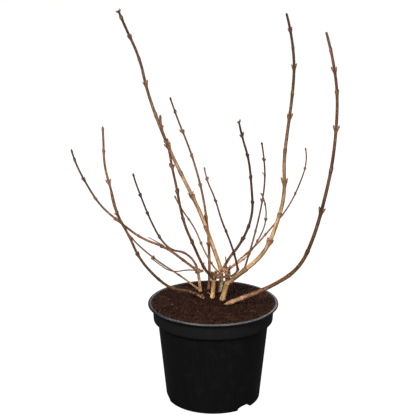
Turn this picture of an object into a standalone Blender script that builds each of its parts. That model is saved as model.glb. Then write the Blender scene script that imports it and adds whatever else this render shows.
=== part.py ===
"""A weigela in winter, bare, in a round black nursery pot.

The pot is a turned shell with three drain recesses in its foot. The compost fills it almost to the
rim. Three old stems and five younger ones rise from the compost, and every other limb grows from
one of those. Each limb is one tapering solid, swollen at its joints, where two buds sit opposite
each other, and it meets the limb it grows from with a small clearance.

Metres, +Z up. The origin is on the pot's axis, on the plane it stands on.
"""

import math

import bmesh
import bpy
import numpy as np
from mathutils import Vector

MM = 0.001
GAP = 0.3 * MM                  # clearance between two pieces that touch

# The pot.
POT_HEIGHT = 147.5 * MM
RIM_RADIUS = 95.4 * MM
LIP_THICKNESS = 3.2 * MM
COLLAR_TOP_RADIUS = 88.8 * MM
COLLAR_FOOT_RADIUS = 87.5 * MM
COLLAR_FOOT_HEIGHT = 122 * MM
BODY_TOP_RADIUS = 81.3 * MM
BASE_RADIUS = 69.3 * MM
BASE_CORNER = 3 * MM
WALL = 1.5 * MM
FLOOR = 2.2 * MM
POT_SIDES = 48
# The rolled lip from its underside round to its top, in lip thicknesses in from the rim and down.
LIP_OUTLINE = ((0.25, 1.0), (0, 0.6), (0.3, 0.1), (0.8, 0))

# The three drain recesses in the foot of the pot, cut in from the outside under a small box.
RECESS_COUNT = 3
RECESS_BEARING = -48            # degrees from +X
RECESS_WIDTH = 26 * MM
RECESS_HEIGHT = 7 * MM
RECESS_DEPTH = 12 * MM
RECESS_SIDES = 10
RECESS_SHOULDER = 0.4           # where its arched roof springs, as a share of its height
BLOCK_FLOOR = 0.8 * FLOOR       # the blocks that box the recesses in start inside the pot's floor
BLOCK_OUTER_RADIUS = BASE_RADIUS - 0.45 * WALL

# The compost.
COMPOST_HEIGHT = 145.5 * MM - GAP
COMPOST_EDGE_DROP = 3.5 * MM
COMPOST_FLAT_RADIUS = 70 * MM

# The limbs.
FOOT_HEIGHT = 145.5 * MM        # every stem from the compost is cut flat here
STEP = 1 * MM                   # spacing of the points along a centre line
RING_SPACING = 15 * MM
FOOT_FLARE = 0.25               # how much wider a stem is where it leaves the compost
FLARE_LENGTH = 8 * MM
JOINT_SWELL = 1.28
BUD_REACH = 1.85
# Rings round a joint, and back from a tip, as (place, swell, reach of the buds), all in radii.
JOINT_RINGS = ((-2.0, 1, 1), (-0.4, JOINT_SWELL, JOINT_SWELL), (1.0, 1.2, BUD_REACH), (2.6, 1, 1))
TIP_RINGS = ((-6.0, 1, 1), (-3.6, 1.3, 1.7), (-2.0, 1.1, 1.1))
# A knuckle: where it starts, and its rings as (place in radii from its stem's end, share of it).
KNUCKLE_START = -2.2
KNUCKLE_RINGS = ((-0.9, 1), (0.5, 1), (1.3, 0.7))
# A spur, a short side shoot: its rings are (share of its length, width in its radii).
SPUR_LEAN = 42                  # degrees between a spur and its limb
SPUR_RADIUS = 0.95 * MM
SPUR_SIDES = 6
SPUR_RINGS = ((0, 1), (0.6, 0.85), (0.8, 1.1))

BLACK_PLASTIC = ("black_plastic", (0.013, 0.013, 0.014), 0.45)
PEAT = ("peat_compost", (0.035, 0.019, 0.013), 0.95)
STRAW_BARK = ("straw_bark", (0.48, 0.30, 0.15), 0.8)
PALE_BARK = ("pale_bark", (0.46, 0.32, 0.17), 0.75)
BROWN_BARK = ("brown_bark", (0.22, 0.115, 0.06), 0.7)
DARK_BARK = ("dark_bark", (0.085, 0.035, 0.024), 0.6)


class Limb:
    """One stem, bough or shoot.

    start is a place on the compost (x, y), or a limb's name and a distance along it. heading is the
    compass direction that it leans to, in degrees from +X, and turn is how far that swings on the
    way to the tip. leans are degrees from the vertical at equal stations from foot to tip. joints
    are distances from the foot. A spur is (joint number, degrees round the limb, length).
    """

    def __init__(self, name, bark, start, heading, length, leans, radii, joints=(), turn=0,
                 spurs=(), split_after=None, knuckle=1.0):
        self.name = name
        self.bark = bark
        self.start = start
        self.heading = heading
        self.turn = turn
        self.length = length * MM
        self.leans = leans
        self.foot_radius = radii[0] * MM
        self.tip_radius = radii[1] * MM
        self.joints = [distance * MM for distance in joints]
        self.spurs = spurs
        self.split_after = split_after
        self.knuckle = knuckle

    def from_compost(self):
        return not isinstance(self.start[0], str)

    def direction(self, distance):
        """The lean and the heading at a distance from the foot, in radians."""
        share = min(max(distance / self.length, 0), 1)
        lean = np.interp(share, np.linspace(0, 1, len(self.leans)), self.leans)
        return math.radians(lean), math.radians(self.heading + self.turn * share)

    def axes(self, distance):
        """Unit vectors along the limb, out to the side it leans to, and level across it."""
        lean, heading = self.direction(distance)
        out = Vector((math.cos(heading), math.sin(heading), 0))
        up = Vector((0, 0, 1))
        along = out * math.sin(lean) + up * math.cos(lean)
        outward = out * math.cos(lean) - up * math.sin(lean)
        return along, outward, along.cross(outward)

    def place(self, foot):
        """Work out the centre line from its foot."""
        self.points = [foot]
        for number in range(round(self.length / STEP)):
            along = self.axes((number + 0.5) * STEP)[0]
            self.points.append(self.points[-1] + along * STEP)

    def point(self, distance):
        """A point on the centre line, which runs on straight past both of its ends."""
        last = len(self.points) - 1
        number = min(max(math.floor(distance / STEP), 0), last)
        return self.points[number] + self.axes(distance)[0] * (distance - number * STEP)

    def radius(self, distance):
        share = min(max(distance / self.length, 0), 1)
        even = self.foot_radius + (self.tip_radius - self.foot_radius) * share
        if self.from_compost():
            even *= 1 + FOOT_FLARE * max(0, 1 - abs(distance) / FLARE_LENGTH) ** 2
        return even


LIMBS = [
    # Old stems, cut back to a knuckle that the younger wood grows from.
    Limb("old_stem_left", STRAW_BARK, (-19, 49), 180, 33, (4, 10), (2.3, 2.2), knuckle=1.5),
    Limb("old_stem_middle", STRAW_BARK, (-1, 22), 60, 31, (12, 6), (3.0, 2.9), knuckle=1.5),
    Limb("old_stem_right", STRAW_BARK, (14, 14), 40, 44, (20, 20, -11), (3.9, 3.6), knuckle=1.25),
    # Young stems straight from the compost.
    Limb("bough_tall_left", PALE_BARK, (10, 47), 166, 447,
         (-14, 20, 20, 27, 27, 23, 20, 12, 26, 23), (3.3, 1.75),
         joints=(104, 156, 194, 238, 287, 335, 372, 406, 434),
         spurs=((1, 0, 7), (1, 180, 7))),
    Limb("bough_inner_back", BROWN_BARK, (-6, 60), 128, 306, (-3, 3, 14, 27, 37, 30),
         (2.2, 1.25), joints=(71, 112, 161, 207, 247, 280)),
    Limb("bough_arch_right", BROWN_BARK, (17, -7), -22, 471,
         (64, 62, 53, 22, 14, 11, 5, 0, -11, -18), (3.05, 1.8),
         joints=(14, 31, 71, 114, 161, 224, 283, 341, 389, 420, 447), split_after=4),
    Limb("bough_front_left", BROWN_BARK, (-15, 21), 205, 333,
         (51, 76, 47, 37, 22, 28, 12, 15, 0, 2), (2.15, 1.4),
         joints=(25, 53, 83, 136, 191, 253, 297), split_after=3),
    Limb("shoot_low_left", STRAW_BARK, (-22, 58), 178, 216, (50, 57, 47, 26, 1),
         (1.4, 1.05), joints=(38, 84, 128, 172)),
    # From the left knuckle.
    Limb("bough_far_left", BROWN_BARK, ("old_stem_left", 33), 164, 276,
         (57, 56, 76, 56, 54, 34, 28, 14), (2.0, 1.25), joints=(28, 66, 105, 148, 192, 226, 258)),
    Limb("shoot_back_left", DARK_BARK, ("old_stem_left", 33), 140, 200,
         (15, 63, 98, 60, 38, 33, 28, 28, 19), (1.65, 1.2), joints=(39, 92, 133, 163)),
    Limb("twig_left", DARK_BARK, ("old_stem_left", 33), 198, 81, (73, 96, 51, 48), (1.05, 0.75),
         joints=(40,)),
    Limb("cut_stub_left", STRAW_BARK, ("old_stem_left", 32), -10, 6, (85, 75), (1.9, 1.9),
         knuckle=1.15),
    # From the middle knuckle.
    Limb("cut_stub_middle", STRAW_BARK, ("old_stem_middle", 30), 20, 9, (40, 10), (1.6, 1.5),
         knuckle=1.15),
    Limb("bough_front_middle", DARK_BARK, ("old_stem_middle", 31), 225, 283,
         (60, 31, 27, 28, 17, 12, 16, 11, 28, -2), (2.05, 1.5),
         joints=(31, 80, 122, 165, 203, 241, 265),
         spurs=((0, 180, 6), (5, 0, 6))),
    Limb("cross_stub", BROWN_BARK, ("old_stem_middle", 31), -36, 49, (69, 85, 62, 26),
         (1.8, 1.6), joints=(24,), knuckle=1.35),
    Limb("shoot_front", DARK_BARK, ("cross_stub", 49), 222, 177, (13, 22, 27, 19, 29, 11),
         (1.65, 1.0), joints=(28, 68, 119, 157)),
    Limb("bough_middle", DARK_BARK, ("cross_stub", 11), 46, 260, (30, 58, 33, -6, -8, -24, -15),
         (2.15, 1.35), joints=(69, 90, 128, 167, 202, 236)),
    # From the right knuckle.
    Limb("cut_stub_right", STRAW_BARK, ("old_stem_right", 38), 215, 11, (55, 25), (1.8, 1.7),
         knuckle=1.15),
    Limb("bough_tall_right", PALE_BARK, ("old_stem_right", 24), 2, 426,
         (52, 50, 21, 14, -4, 6, 7, 3, -8, -16), (3.4, 1.7),
         joints=(36, 92, 135, 185, 231, 280, 313, 351, 378, 403), split_after=2,
         spurs=((3, 180, 8),)),
    Limb("shoot_right", BROWN_BARK, ("old_stem_right", 44), 40, 243, (60, 66, 55, 55, 36, 25, -18),
         (1.5, 1.05), joints=(43, 86, 128, 168, 209)),
    Limb("shoot_right_short", STRAW_BARK, ("old_stem_right", 44), 58, 184,
         (81, 87, 64, 51, -11, -47), (1.3, 1.0), joints=(46, 92, 132, 158)),
    Limb("twig_stub", BROWN_BARK, ("old_stem_right", 44), 190, 23, (12, 2), (0.9, 0.75)),
    # From the young boughs.
    Limb("shoot_middle_right", DARK_BARK, ("bough_tall_right", 32), 62, 205,
         (40, 37, 30, 18, -11, -22), (1.35, 1.1), joints=(27, 63, 111, 149, 174),
         spurs=((3, 90, 6),)),
    Limb("shoot_back", STRAW_BARK, ("bough_tall_left", 30), 105, 164, (104, 63, 31, 45, 25),
         (1.3, 1.1), joints=(40, 77, 120), turn=55),
    Limb("twig_far_left", DARK_BARK, ("bough_far_left", 55), 150, 38, (62, 76), (0.95, 0.6)),
]


def clear_scene():
    for item in list(bpy.data.objects):
        bpy.data.objects.remove(item, do_unlink=True)


def material(finish):
    """A Principled material from a name, a colour and a roughness, made once."""
    name, colour, roughness = finish
    if name in bpy.data.materials:
        return bpy.data.materials[name]
    made = bpy.data.materials.new(name)
    made.use_nodes = True
    shader = made.node_tree.nodes["Principled BSDF"]
    shader.inputs["Base Color"].default_value = (*colour, 1)
    shader.inputs["Roughness"].default_value = roughness
    shader.inputs["Metallic"].default_value = 0
    return made


def add_object(name, shape, finish=None):
    """Turn a bmesh into an object in the scene."""
    bmesh.ops.recalc_face_normals(shape, faces=shape.faces)
    mesh = bpy.data.meshes.new(name)
    shape.to_mesh(mesh)
    shape.free()
    item = bpy.data.objects.new(name, mesh)
    bpy.context.collection.objects.link(item)
    if finish:
        mesh.materials.append(material(finish))
    return item


def keep_largest_piece(mesh):
    """Drop the loose scraps that a cut can leave."""
    shape = bmesh.new()
    shape.from_mesh(mesh)
    unseen = set(shape.verts)
    pieces = []
    while unseen:
        edge_of_piece = [unseen.pop()]
        piece = set(edge_of_piece)
        while edge_of_piece:
            vertex = edge_of_piece.pop()
            for edge in vertex.link_edges:
                other = edge.other_vert(vertex)
                if other in unseen:
                    unseen.remove(other)
                    piece.add(other)
                    edge_of_piece.append(other)
        pieces.append(piece)
    pieces.sort(key=len)
    scraps = [vertex for piece in pieces[:-1] for vertex in piece]
    bmesh.ops.delete(shape, geom=scraps, context="VERTS")
    shape.to_mesh(mesh)
    shape.free()


def combine(item, others, operation):
    """Cut other objects out of an item, or fuse them to it, and remove them."""
    for other in others:
        cut = item.modifiers.new("combine", "BOOLEAN")
        cut.operation = operation
        cut.solver = "EXACT"
        cut.object = other
        bpy.context.view_layer.update()
        mesh = bpy.data.meshes.new_from_object(item.evaluated_get(
            bpy.context.evaluated_depsgraph_get()))
        item.modifiers.clear()
        item.data = mesh
        bpy.data.objects.remove(other, do_unlink=True)
    keep_largest_piece(item.data)


def turned(name, profile, finish=None, sides=POT_SIDES):
    """Spin a closed outline of (radius, height) points round the Z axis.

    A point of radius zero becomes a single vertex on the axis.
    """
    shape = bmesh.new()
    rings = []
    for radius, height in profile:
        if radius == 0:
            rings.append([shape.verts.new((0, 0, height))])
            continue
        ring = []
        for side in range(sides):
            angle = 2 * math.pi * side / sides
            place = (radius * math.cos(angle), radius * math.sin(angle), height)
            ring.append(shape.verts.new(place))
        rings.append(ring)
    for lower, upper in zip(rings, rings[1:] + rings[:1]):
        if len(lower) == 1 and len(upper) == 1:
            continue
        for side in range(sides):
            following = (side + 1) % sides
            corners = [lower[side % len(lower)], lower[following % len(lower)],
                       upper[following % len(upper)], upper[side % len(upper)]]
            shape.faces.new(list(dict.fromkeys(corners)))
    return add_object(name, shape, finish)


def body_radius(height):
    """The outer radius of the pot's tapering body, below the collar."""
    share = (height - BASE_CORNER) / (COLLAR_FOOT_HEIGHT - BASE_CORNER)
    return BASE_RADIUS + (BODY_TOP_RADIUS - BASE_RADIUS) * share


def inner_outline(clearance):
    """The inside of the pot's wall, from the floor to the rim, drawn in by a clearance."""
    shrink = WALL + clearance
    step_height = COLLAR_FOOT_HEIGHT + WALL
    return [
        (body_radius(FLOOR) - shrink - BASE_CORNER, FLOOR + clearance),
        (body_radius(2 * BASE_CORNER) - shrink, 2 * BASE_CORNER + clearance),
        (BODY_TOP_RADIUS - shrink, step_height + clearance),
        (COLLAR_FOOT_RADIUS - shrink, step_height + clearance + 2 * WALL),
        (COLLAR_TOP_RADIUS - shrink, POT_HEIGHT - LIP_THICKNESS / 2),
    ]


def recess_top(across, grow):
    """The height of a recess's arched roof at a distance from its middle."""
    half = RECESS_WIDTH / 2 + grow
    rise = math.sqrt(max(0, 1 - (across / half) ** 2))
    return (RECESS_HEIGHT + grow) * (RECESS_SHOULDER + (1 - RECESS_SHOULDER) * rise)


def recess_shape(name, grow, floor, outer_radius):
    """A recess at +X, wider, higher and deeper by grow, from a floor up to its arched roof.

    It is built from columns across its width, and its outer end follows a circle round the pot.
    """
    shape = bmesh.new()
    half = RECESS_WIDTH / 2 + grow
    inner = BASE_RADIUS - RECESS_DEPTH - grow
    columns = []
    for number in range(RECESS_SIDES + 1):
        across = -half * math.cos(math.pi * number / RECESS_SIDES)
        outer = math.sqrt(outer_radius ** 2 - across ** 2)
        roof = recess_top(across, grow)
        corners = ((inner, floor), (outer, floor), (outer, roof), (inner, roof))
        columns.append([shape.verts.new((x, across, z)) for x, z in corners])
    for before, after in zip(columns, columns[1:]):
        for corner in range(4):
            following = (corner + 1) % 4
            shape.faces.new((before[corner], before[following], after[following], after[corner]))
    shape.faces.new(columns[0])
    shape.faces.new(columns[-1])
    return add_object(name, shape)


def recess_shapes(name, grow, floor, outer_radius):
    """One recess shape for each of the pot's recesses."""
    shapes = []
    for number in range(RECESS_COUNT):
        item = recess_shape(f"{name}_{number}", grow, floor, outer_radius)
        item.rotation_euler.z = math.radians(RECESS_BEARING + 360 * number / RECESS_COUNT)
        shapes.append(item)
    return shapes


def make_pot():
    corner = [(BASE_RADIUS - BASE_CORNER * (1 - math.sin(angle)),
               BASE_CORNER * (1 - math.cos(angle))) for angle in np.radians((0, 30, 60, 90))]
    lip = [(RIM_RADIUS - inward * LIP_THICKNESS, POT_HEIGHT - down * LIP_THICKNESS)
           for inward, down in LIP_OUTLINE]
    profile = [
        (0, 0),
        *corner,
        (BODY_TOP_RADIUS, COLLAR_FOOT_HEIGHT),
        (COLLAR_FOOT_RADIUS, COLLAR_FOOT_HEIGHT),
        (COLLAR_TOP_RADIUS, POT_HEIGHT - LIP_THICKNESS),
        *lip,
        (COLLAR_TOP_RADIUS, POT_HEIGHT),
        *reversed(inner_outline(0)),
        (0, FLOOR),
    ]
    pot = turned("pot", profile, BLACK_PLASTIC)
    # A block inside the wall gives each recess its own roof and back.
    combine(pot, recess_shapes("block", WALL, BLOCK_FLOOR, BLOCK_OUTER_RADIUS), "UNION")
    combine(pot, recess_shapes("recess", 0, -FLOOR, 2 * BASE_RADIUS), "DIFFERENCE")
    return pot


def make_compost():
    wall = inner_outline(GAP)
    top = wall[-1]
    below = wall[-2]
    edge_height = COMPOST_HEIGHT - COMPOST_EDGE_DROP
    share = (edge_height - below[1]) / (top[1] - below[1])
    edge_radius = below[0] + (top[0] - below[0]) * share
    profile = [
        (0, wall[0][1]),
        *wall[:-1],
        (edge_radius, edge_height),
        (COMPOST_FLAT_RADIUS, COMPOST_HEIGHT),
        (0, COMPOST_HEIGHT),
    ]
    compost = turned("compost", profile, PEAT)
    room = recess_shapes("recess_room", WALL + GAP, -FLOOR, 2 * BASE_RADIUS)
    combine(compost, room, "DIFFERENCE")
    return compost


def sides_of(limb):
    return 8 if limb.foot_radius > 1.25 * MM else 6


def ring_plan(limb):
    """(distance, swell, bud reach, bud side) for each ring of a limb, from its foot to its tip.

    Two vertices that face each other are pushed out to be the joint's buds. Their side turns by a
    quarter from each joint to the next.
    """
    plan = [(0, 1, 1, 0)]
    for number, distance in enumerate(limb.joints):
        radius = limb.radius(distance)
        plan += [(distance + place * radius, swell, bud, (number + 1) % 2)
                 for place, swell, bud in JOINT_RINGS]
    end = limb.length
    radius = limb.radius(end)
    if limb.knuckle > 1:
        plan.append((end + KNUCKLE_START * radius, 1, 1, 0))
        plan += [(end + place * radius, limb.knuckle * share, limb.knuckle * share, 0)
                 for place, share in KNUCKLE_RINGS]
    else:
        plan += [(end + place * radius, swell, bud, 1) for place, swell, bud in TIP_RINGS]
    fillers = []
    for before, after in zip(plan, plan[1:]):
        count = math.ceil((after[0] - before[0]) / RING_SPACING)
        for number in range(1, count):
            share = number / count
            fillers.append((before[0] + (after[0] - before[0]) * share, 1, 1, 0))
    return sorted(plan + fillers)


def limb_shape(limb, grow=0.0, first=-math.inf, last=math.inf):
    """The closed skin of a limb, or of its stretch from first to last, thicker by grow."""
    sides = sides_of(limb)
    plan = [ring for ring in ring_plan(limb) if first < ring[0] < last]
    pointed = last == math.inf and limb.knuckle == 1
    if first > -math.inf:
        plan.insert(0, (first, 1, 1, 0))
    elif limb.from_compost():
        lean = limb.direction(0)[0]
        reach = 1.5 * (limb.radius(0) + grow) * (1 + math.tan(abs(lean)))
        plan.insert(0, (-reach, 1, 1, 0))
    if last < math.inf:
        plan.append((last, 1, 1, 0))
    shape = bmesh.new()
    rings = []
    for distance, swell, bud, quarter in plan:
        centre = limb.point(distance)
        outward, across = limb.axes(distance)[1:]
        radius = limb.radius(distance)
        ring = []
        for side in range(sides):
            angle = 2 * math.pi * side / sides
            faces_bud = sides == 8 and side % 4 == 2 * quarter or sides == 6 and side % 3 == quarter
            reach = radius * (bud if faces_bud else swell) + grow
            ring.append(shape.verts.new(
                centre + outward * (math.cos(angle) * reach) + across * (math.sin(angle) * reach)))
        rings.append(ring)
    for lower, upper in zip(rings, rings[1:]):
        for side in range(sides):
            following = (side + 1) % sides
            shape.faces.new((lower[side], lower[following], upper[following], upper[side]))
    shape.faces.new(list(reversed(rings[0])))
    if pointed:
        tip = shape.verts.new(limb.point(limb.length + grow))
        for side in range(sides):
            shape.faces.new((rings[-1][side], rings[-1][(side + 1) % sides], tip))
    else:
        shape.faces.new(rings[-1])
    if limb.from_compost() and first == -math.inf:
        cut_flat(shape, FOOT_HEIGHT - grow)
    return shape


def cut_flat(shape, height):
    """Cut everything below a height away and close the cut."""
    whole = shape.verts[:] + shape.edges[:] + shape.faces[:]
    cut = bmesh.ops.bisect_plane(shape, geom=whole, dist=1e-7, plane_co=(0, 0, height),
                                 plane_no=(0, 0, 1), clear_inner=True)
    rim = [item for item in cut["geom_cut"] if isinstance(item, bmesh.types.BMEdge)]
    bmesh.ops.contextual_create(shape, geom=rim)


def spur_shape(limb, joint, turn, length):
    """A short tapering spur that leaves a limb at one of its joints."""
    distance = limb.joints[joint]
    along, outward, across = limb.axes(distance)
    turn = math.radians(turn)
    lean = math.radians(SPUR_LEAN)
    side = outward * math.cos(turn) + across * math.sin(turn)
    direction = along * math.cos(lean) + side * math.sin(lean)
    first_axis = direction.cross(along).normalized()
    second_axis = direction.cross(first_axis)
    shape = bmesh.new()
    rings = []
    for share, width in SPUR_RINGS:
        centre = limb.point(distance) + direction * (length * MM * share)
        ring = []
        for number in range(SPUR_SIDES):
            angle = 2 * math.pi * number / SPUR_SIDES
            place = first_axis * math.cos(angle) + second_axis * math.sin(angle)
            ring.append(shape.verts.new(centre + place * (SPUR_RADIUS * width)))
        rings.append(ring)
    for lower, upper in zip(rings, rings[1:]):
        for number in range(SPUR_SIDES):
            following = (number + 1) % SPUR_SIDES
            shape.faces.new((lower[number], lower[following], upper[following], upper[number]))
    shape.faces.new(list(reversed(rings[0])))
    tip = shape.verts.new(limb.point(distance) + direction * (length * MM))
    for number in range(SPUR_SIDES):
        shape.faces.new((rings[-1][number], rings[-1][(number + 1) % SPUR_SIDES], tip))
    return shape


def touches(limb, other):
    """Whether two limbs come so close that one has to be cut clear of the other."""
    reach = limb.foot_radius * JOINT_SWELL + other.foot_radius * max(other.knuckle, JOINT_SWELL)
    mine = np.array(limb.points[::2])
    theirs = np.array(other.points[::2])
    apart = np.linalg.norm(mine[:, None] - theirs[None], axis=2)
    return apart.min() < reach + 4 * GAP


def make_limb(limb, made):
    """Add a limb, in one piece or two, cut clear of the limbs that were made before it."""
    stretches = [(limb.name, -math.inf, math.inf)]
    if limb.split_after is not None:
        middle = (limb.joints[limb.split_after] + limb.joints[limb.split_after + 1]) / 2
        stretches = [(f"{limb.name}_lower", -math.inf, middle - GAP / 2),
                     (f"{limb.name}_upper", middle + GAP / 2, math.inf)]
    near = [other for other in made if touches(limb, other)]
    for number, (name, first, last) in enumerate(stretches):
        item = add_object(name, limb_shape(limb, 0, first, last), limb.bark)
        spurs = [add_object("spur", spur_shape(limb, *spur)) for spur in limb.spurs
                 if first < limb.joints[spur[0]] < last]
        if spurs:
            combine(item, spurs, "UNION")
        cutters = [add_object("cutter", limb_shape(other, GAP)) for other in near]
        combine(item, cutters, "DIFFERENCE")
        finish_surface(item, limb.bark)


def finish_surface(item, finish):
    """Shade a round piece smooth and give it its one material."""
    item.data.materials.clear()
    item.data.materials.append(material(finish))
    item.data.polygons.foreach_set("material_index", [0] * len(item.data.polygons))
    item.data.shade_smooth()
    item.data.set_sharp_from_angle(angle=math.radians(40))


def place_limbs():
    """Stand every limb on the compost or on the limb that it grows from."""
    placed = {}
    for limb in LIMBS:
        if limb.from_compost():
            foot = Vector((limb.start[0] * MM, limb.start[1] * MM, FOOT_HEIGHT))
        else:
            parent, distance = limb.start
            foot = placed[parent].point(distance * MM)
        limb.place(foot)
        placed[limb.name] = limb


def main():
    clear_scene()
    finish_surface(make_pot(), BLACK_PLASTIC)
    finish_surface(make_compost(), PEAT)
    place_limbs()
    for number, limb in enumerate(LIMBS):
        make_limb(limb, LIMBS[:number])


main()
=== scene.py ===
# %% [markdown]
# # A weigela in its nursery pot, in winter
#
# The plant is bare: a few old stems cut back to knuckles, long arching shoots with paired buds,
# and a black pot full of peat compost. Its solids are packed already. This lesson loads them as a
# fixed frame and dresses them, so every size here is the size that the solids have.

import math
import random

import bmesh
import bpy
import numpy as np
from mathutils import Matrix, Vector, noise


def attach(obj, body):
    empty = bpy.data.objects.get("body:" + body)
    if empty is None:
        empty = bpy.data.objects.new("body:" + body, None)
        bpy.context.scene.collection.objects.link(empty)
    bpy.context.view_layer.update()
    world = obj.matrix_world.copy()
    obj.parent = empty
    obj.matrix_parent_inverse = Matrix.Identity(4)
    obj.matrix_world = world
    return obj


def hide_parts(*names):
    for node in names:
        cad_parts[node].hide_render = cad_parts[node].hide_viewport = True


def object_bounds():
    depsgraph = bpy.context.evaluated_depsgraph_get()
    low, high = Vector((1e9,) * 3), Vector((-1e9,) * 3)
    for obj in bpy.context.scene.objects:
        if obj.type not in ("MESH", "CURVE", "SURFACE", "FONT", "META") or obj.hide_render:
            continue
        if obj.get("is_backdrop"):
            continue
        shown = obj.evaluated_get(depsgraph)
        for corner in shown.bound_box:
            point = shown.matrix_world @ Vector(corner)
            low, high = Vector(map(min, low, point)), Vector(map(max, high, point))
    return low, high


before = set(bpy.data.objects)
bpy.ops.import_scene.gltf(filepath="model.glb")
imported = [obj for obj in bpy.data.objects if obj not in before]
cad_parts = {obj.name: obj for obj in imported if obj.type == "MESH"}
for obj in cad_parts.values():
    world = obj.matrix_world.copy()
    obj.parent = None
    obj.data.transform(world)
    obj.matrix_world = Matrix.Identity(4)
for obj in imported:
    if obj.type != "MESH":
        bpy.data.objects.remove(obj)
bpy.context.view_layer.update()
MM = 0.001

# %% [markdown]
# ## The camera
#
# A small plant is best seen from a step away and a little above, so that the ring of the pot and
# the compost in it show. A long lens keeps the pot's sides from spreading towards the viewer.

# %% Place the camera
CAMERA_PLACE = (-0.0083, -1.5, 0.7005)
CAMERA_DIP = 15.3               # degrees below the horizon
FOCAL_PIXELS = 1087
IMAGE_PIXELS = 415
SENSOR_MM = 36

lens = bpy.data.cameras.new("camera")
lens.sensor_width = SENSOR_MM
lens.lens = FOCAL_PIXELS * SENSOR_MM / IMAGE_PIXELS
camera = bpy.data.objects.new("camera", lens)
camera.location = CAMERA_PLACE
camera.rotation_euler = (math.radians(90 - CAMERA_DIP), 0, 0)
bpy.context.scene.collection.objects.link(camera)
bpy.context.scene.camera = camera
print("lens in mm:", round(lens.lens, 1))

# %% [markdown]
# ## Making a piece
#
# Every piece here is a mesh worked out by a function. One helper turns its points and faces into
# an object, keeps the numbers that its material will read as attributes on the points, and ties it
# to the frame: it rides on the plant's one body, and it may stand in for some of the solids. Most
# pieces are rows of rings, so the faces between rings are worked out here too, once for all.

# %% Define the piece maker
class Shell:
    """Points, faces and numbers for each point, gathered from any number of closed skins."""

    def __init__(self):
        self.points = []
        self.faces = []
        self.numbers = {}

    def add(self, points, faces, **numbers):
        first = len(self.points)
        self.points += [tuple(point) for point in points]
        self.faces += [tuple(corner + first for corner in face) for face in faces]
        for title, values in numbers.items():
            self.numbers.setdefault(title, []).extend(values)


def add_piece(name, shell, material, replaced=(), body="root"):
    """An object from a shell, smooth shaded, tied to the frame."""
    mesh = bpy.data.meshes.new(name)
    mesh.from_pydata(shell.points, [], shell.faces)
    for title, values in shell.numbers.items():
        values = np.array(values, dtype=np.float32)
        if values.ndim == 2:
            attribute = mesh.attributes.new(title, "FLOAT_VECTOR", "POINT")
            attribute.data.foreach_set("vector", values.ravel())
        else:
            attribute = mesh.attributes.new(title, "FLOAT", "POINT")
            attribute.data.foreach_set("value", values)
    mesh.materials.append(material)
    mesh.shade_smooth()
    item = bpy.data.objects.new(name, mesh)
    bpy.context.scene.collection.objects.link(item)
    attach(item, body)
    if replaced:
        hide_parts(*replaced)
    return item


def around(sides):
    """The angles of the points of a ring."""
    return 2 * np.pi * np.arange(sides) / sides


def ring_faces(rings, sides, first=0):
    """The four-sided faces between rings of points that follow each other."""
    faces = []
    for ring in range(rings - 1):
        low = first + ring * sides
        for side in range(sides):
            following = (side + 1) % sides
            faces.append((low + side, low + following, low + sides + following,
                          low + sides + side))
    return faces


def tube_faces(rings, sides):
    """The faces of a closed tube: its wall, and a flat cap over each end."""
    last = (rings - 1) * sides
    caps = [tuple(range(sides - 1, -1, -1)), tuple(range(last, last + sides))]
    return ring_faces(rings, sides) + caps


# %% [markdown]
# ## Wiring a material
#
# A material is a tree of nodes. `Graph` adds a node, fills in its inputs from numbers or from the
# outputs of other nodes, and gives back its output, so a material reads like a recipe. An effect
# that several finishes share is a node group, made once and used in each with its own values.

# %% Define the graph helper
class Graph:
    """Adds nodes to one node tree."""

    def __init__(self, tree):
        self.tree = tree

    def fill(self, socket, value):
        if isinstance(value, bpy.types.NodeSocket):
            self.tree.links.new(value, socket)
        else:
            socket.default_value = value

    def node(self, kind, inputs, **settings):
        made = self.tree.nodes.new("ShaderNode" + kind)
        for name, value in settings.items():
            setattr(made, name, value)
        for name, value in inputs.items():
            self.fill(made.inputs[name], value)
        return made

    def add(self, kind, inputs, output=0, **settings):
        return self.node(kind, inputs, **settings).outputs[output]

    def maths(self, operation, first, second):
        return self.add("Math", {0: first, 1: second}, operation=operation)

    def inverse(self, value):
        return self.maths("SUBTRACT", 1.0, value)

    def fade(self, value, low, high):
        """0 below low and 1 above high, with a smooth step between."""
        return self.add("MapRange", {"Value": value, "From Min": low, "From Max": high},
                        interpolation_type="SMOOTHSTEP")

    def span(self, value, start, end, low=0.0, high=1.0):
        """start below low and end above high, with a straight line between."""
        return self.add("MapRange", {"Value": value, "From Min": low, "From Max": high,
                                     "To Min": start, "To Max": end})

    def mix(self, factor, first, second):
        """Two colours mixed by a factor."""
        return self.add("Mix", {0: factor, 6: first, 7: second}, output=2, data_type="RGBA")

    def lay(self, colour, other, mask, share):
        """A colour with another laid over it, as strong as a mask times a share."""
        return self.mix(self.maths("MULTIPLY", mask, share), colour, other)

    def shade(self, colour, strength):
        return self.add("VectorMath", {0: colour, "Scale": strength}, operation="SCALE")

    def spot(self):
        """The place on the plant in metres."""
        return self.add("TexCoord", {}, output="Object")

    def axis(self, vector, letter):
        return self.add("SeparateXYZ", {"Vector": vector}, output=letter)

    def noise(self, place, scale, detail):
        return self.add("TexNoise", {"Vector": place, "Scale": scale, "Detail": detail})

    def attribute(self, name, output="Fac"):
        return self.add("Attribute", {}, output=output, attribute_name=name)

    def use(self, group, **inputs):
        """A node group with its inputs filled in. Its outputs are read by name."""
        made = self.tree.nodes.new("ShaderNodeGroup")
        made.node_tree = group
        for name, value in inputs.items():
            self.fill(made.inputs[name], value)
        return made.outputs

    def bump(self, height, depth, strength):
        """A surface normal from a height between 0 and 1 and a depth in metres."""
        return self.add("Bump", {"Height": height, "Distance": depth, "Strength": strength})


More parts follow.
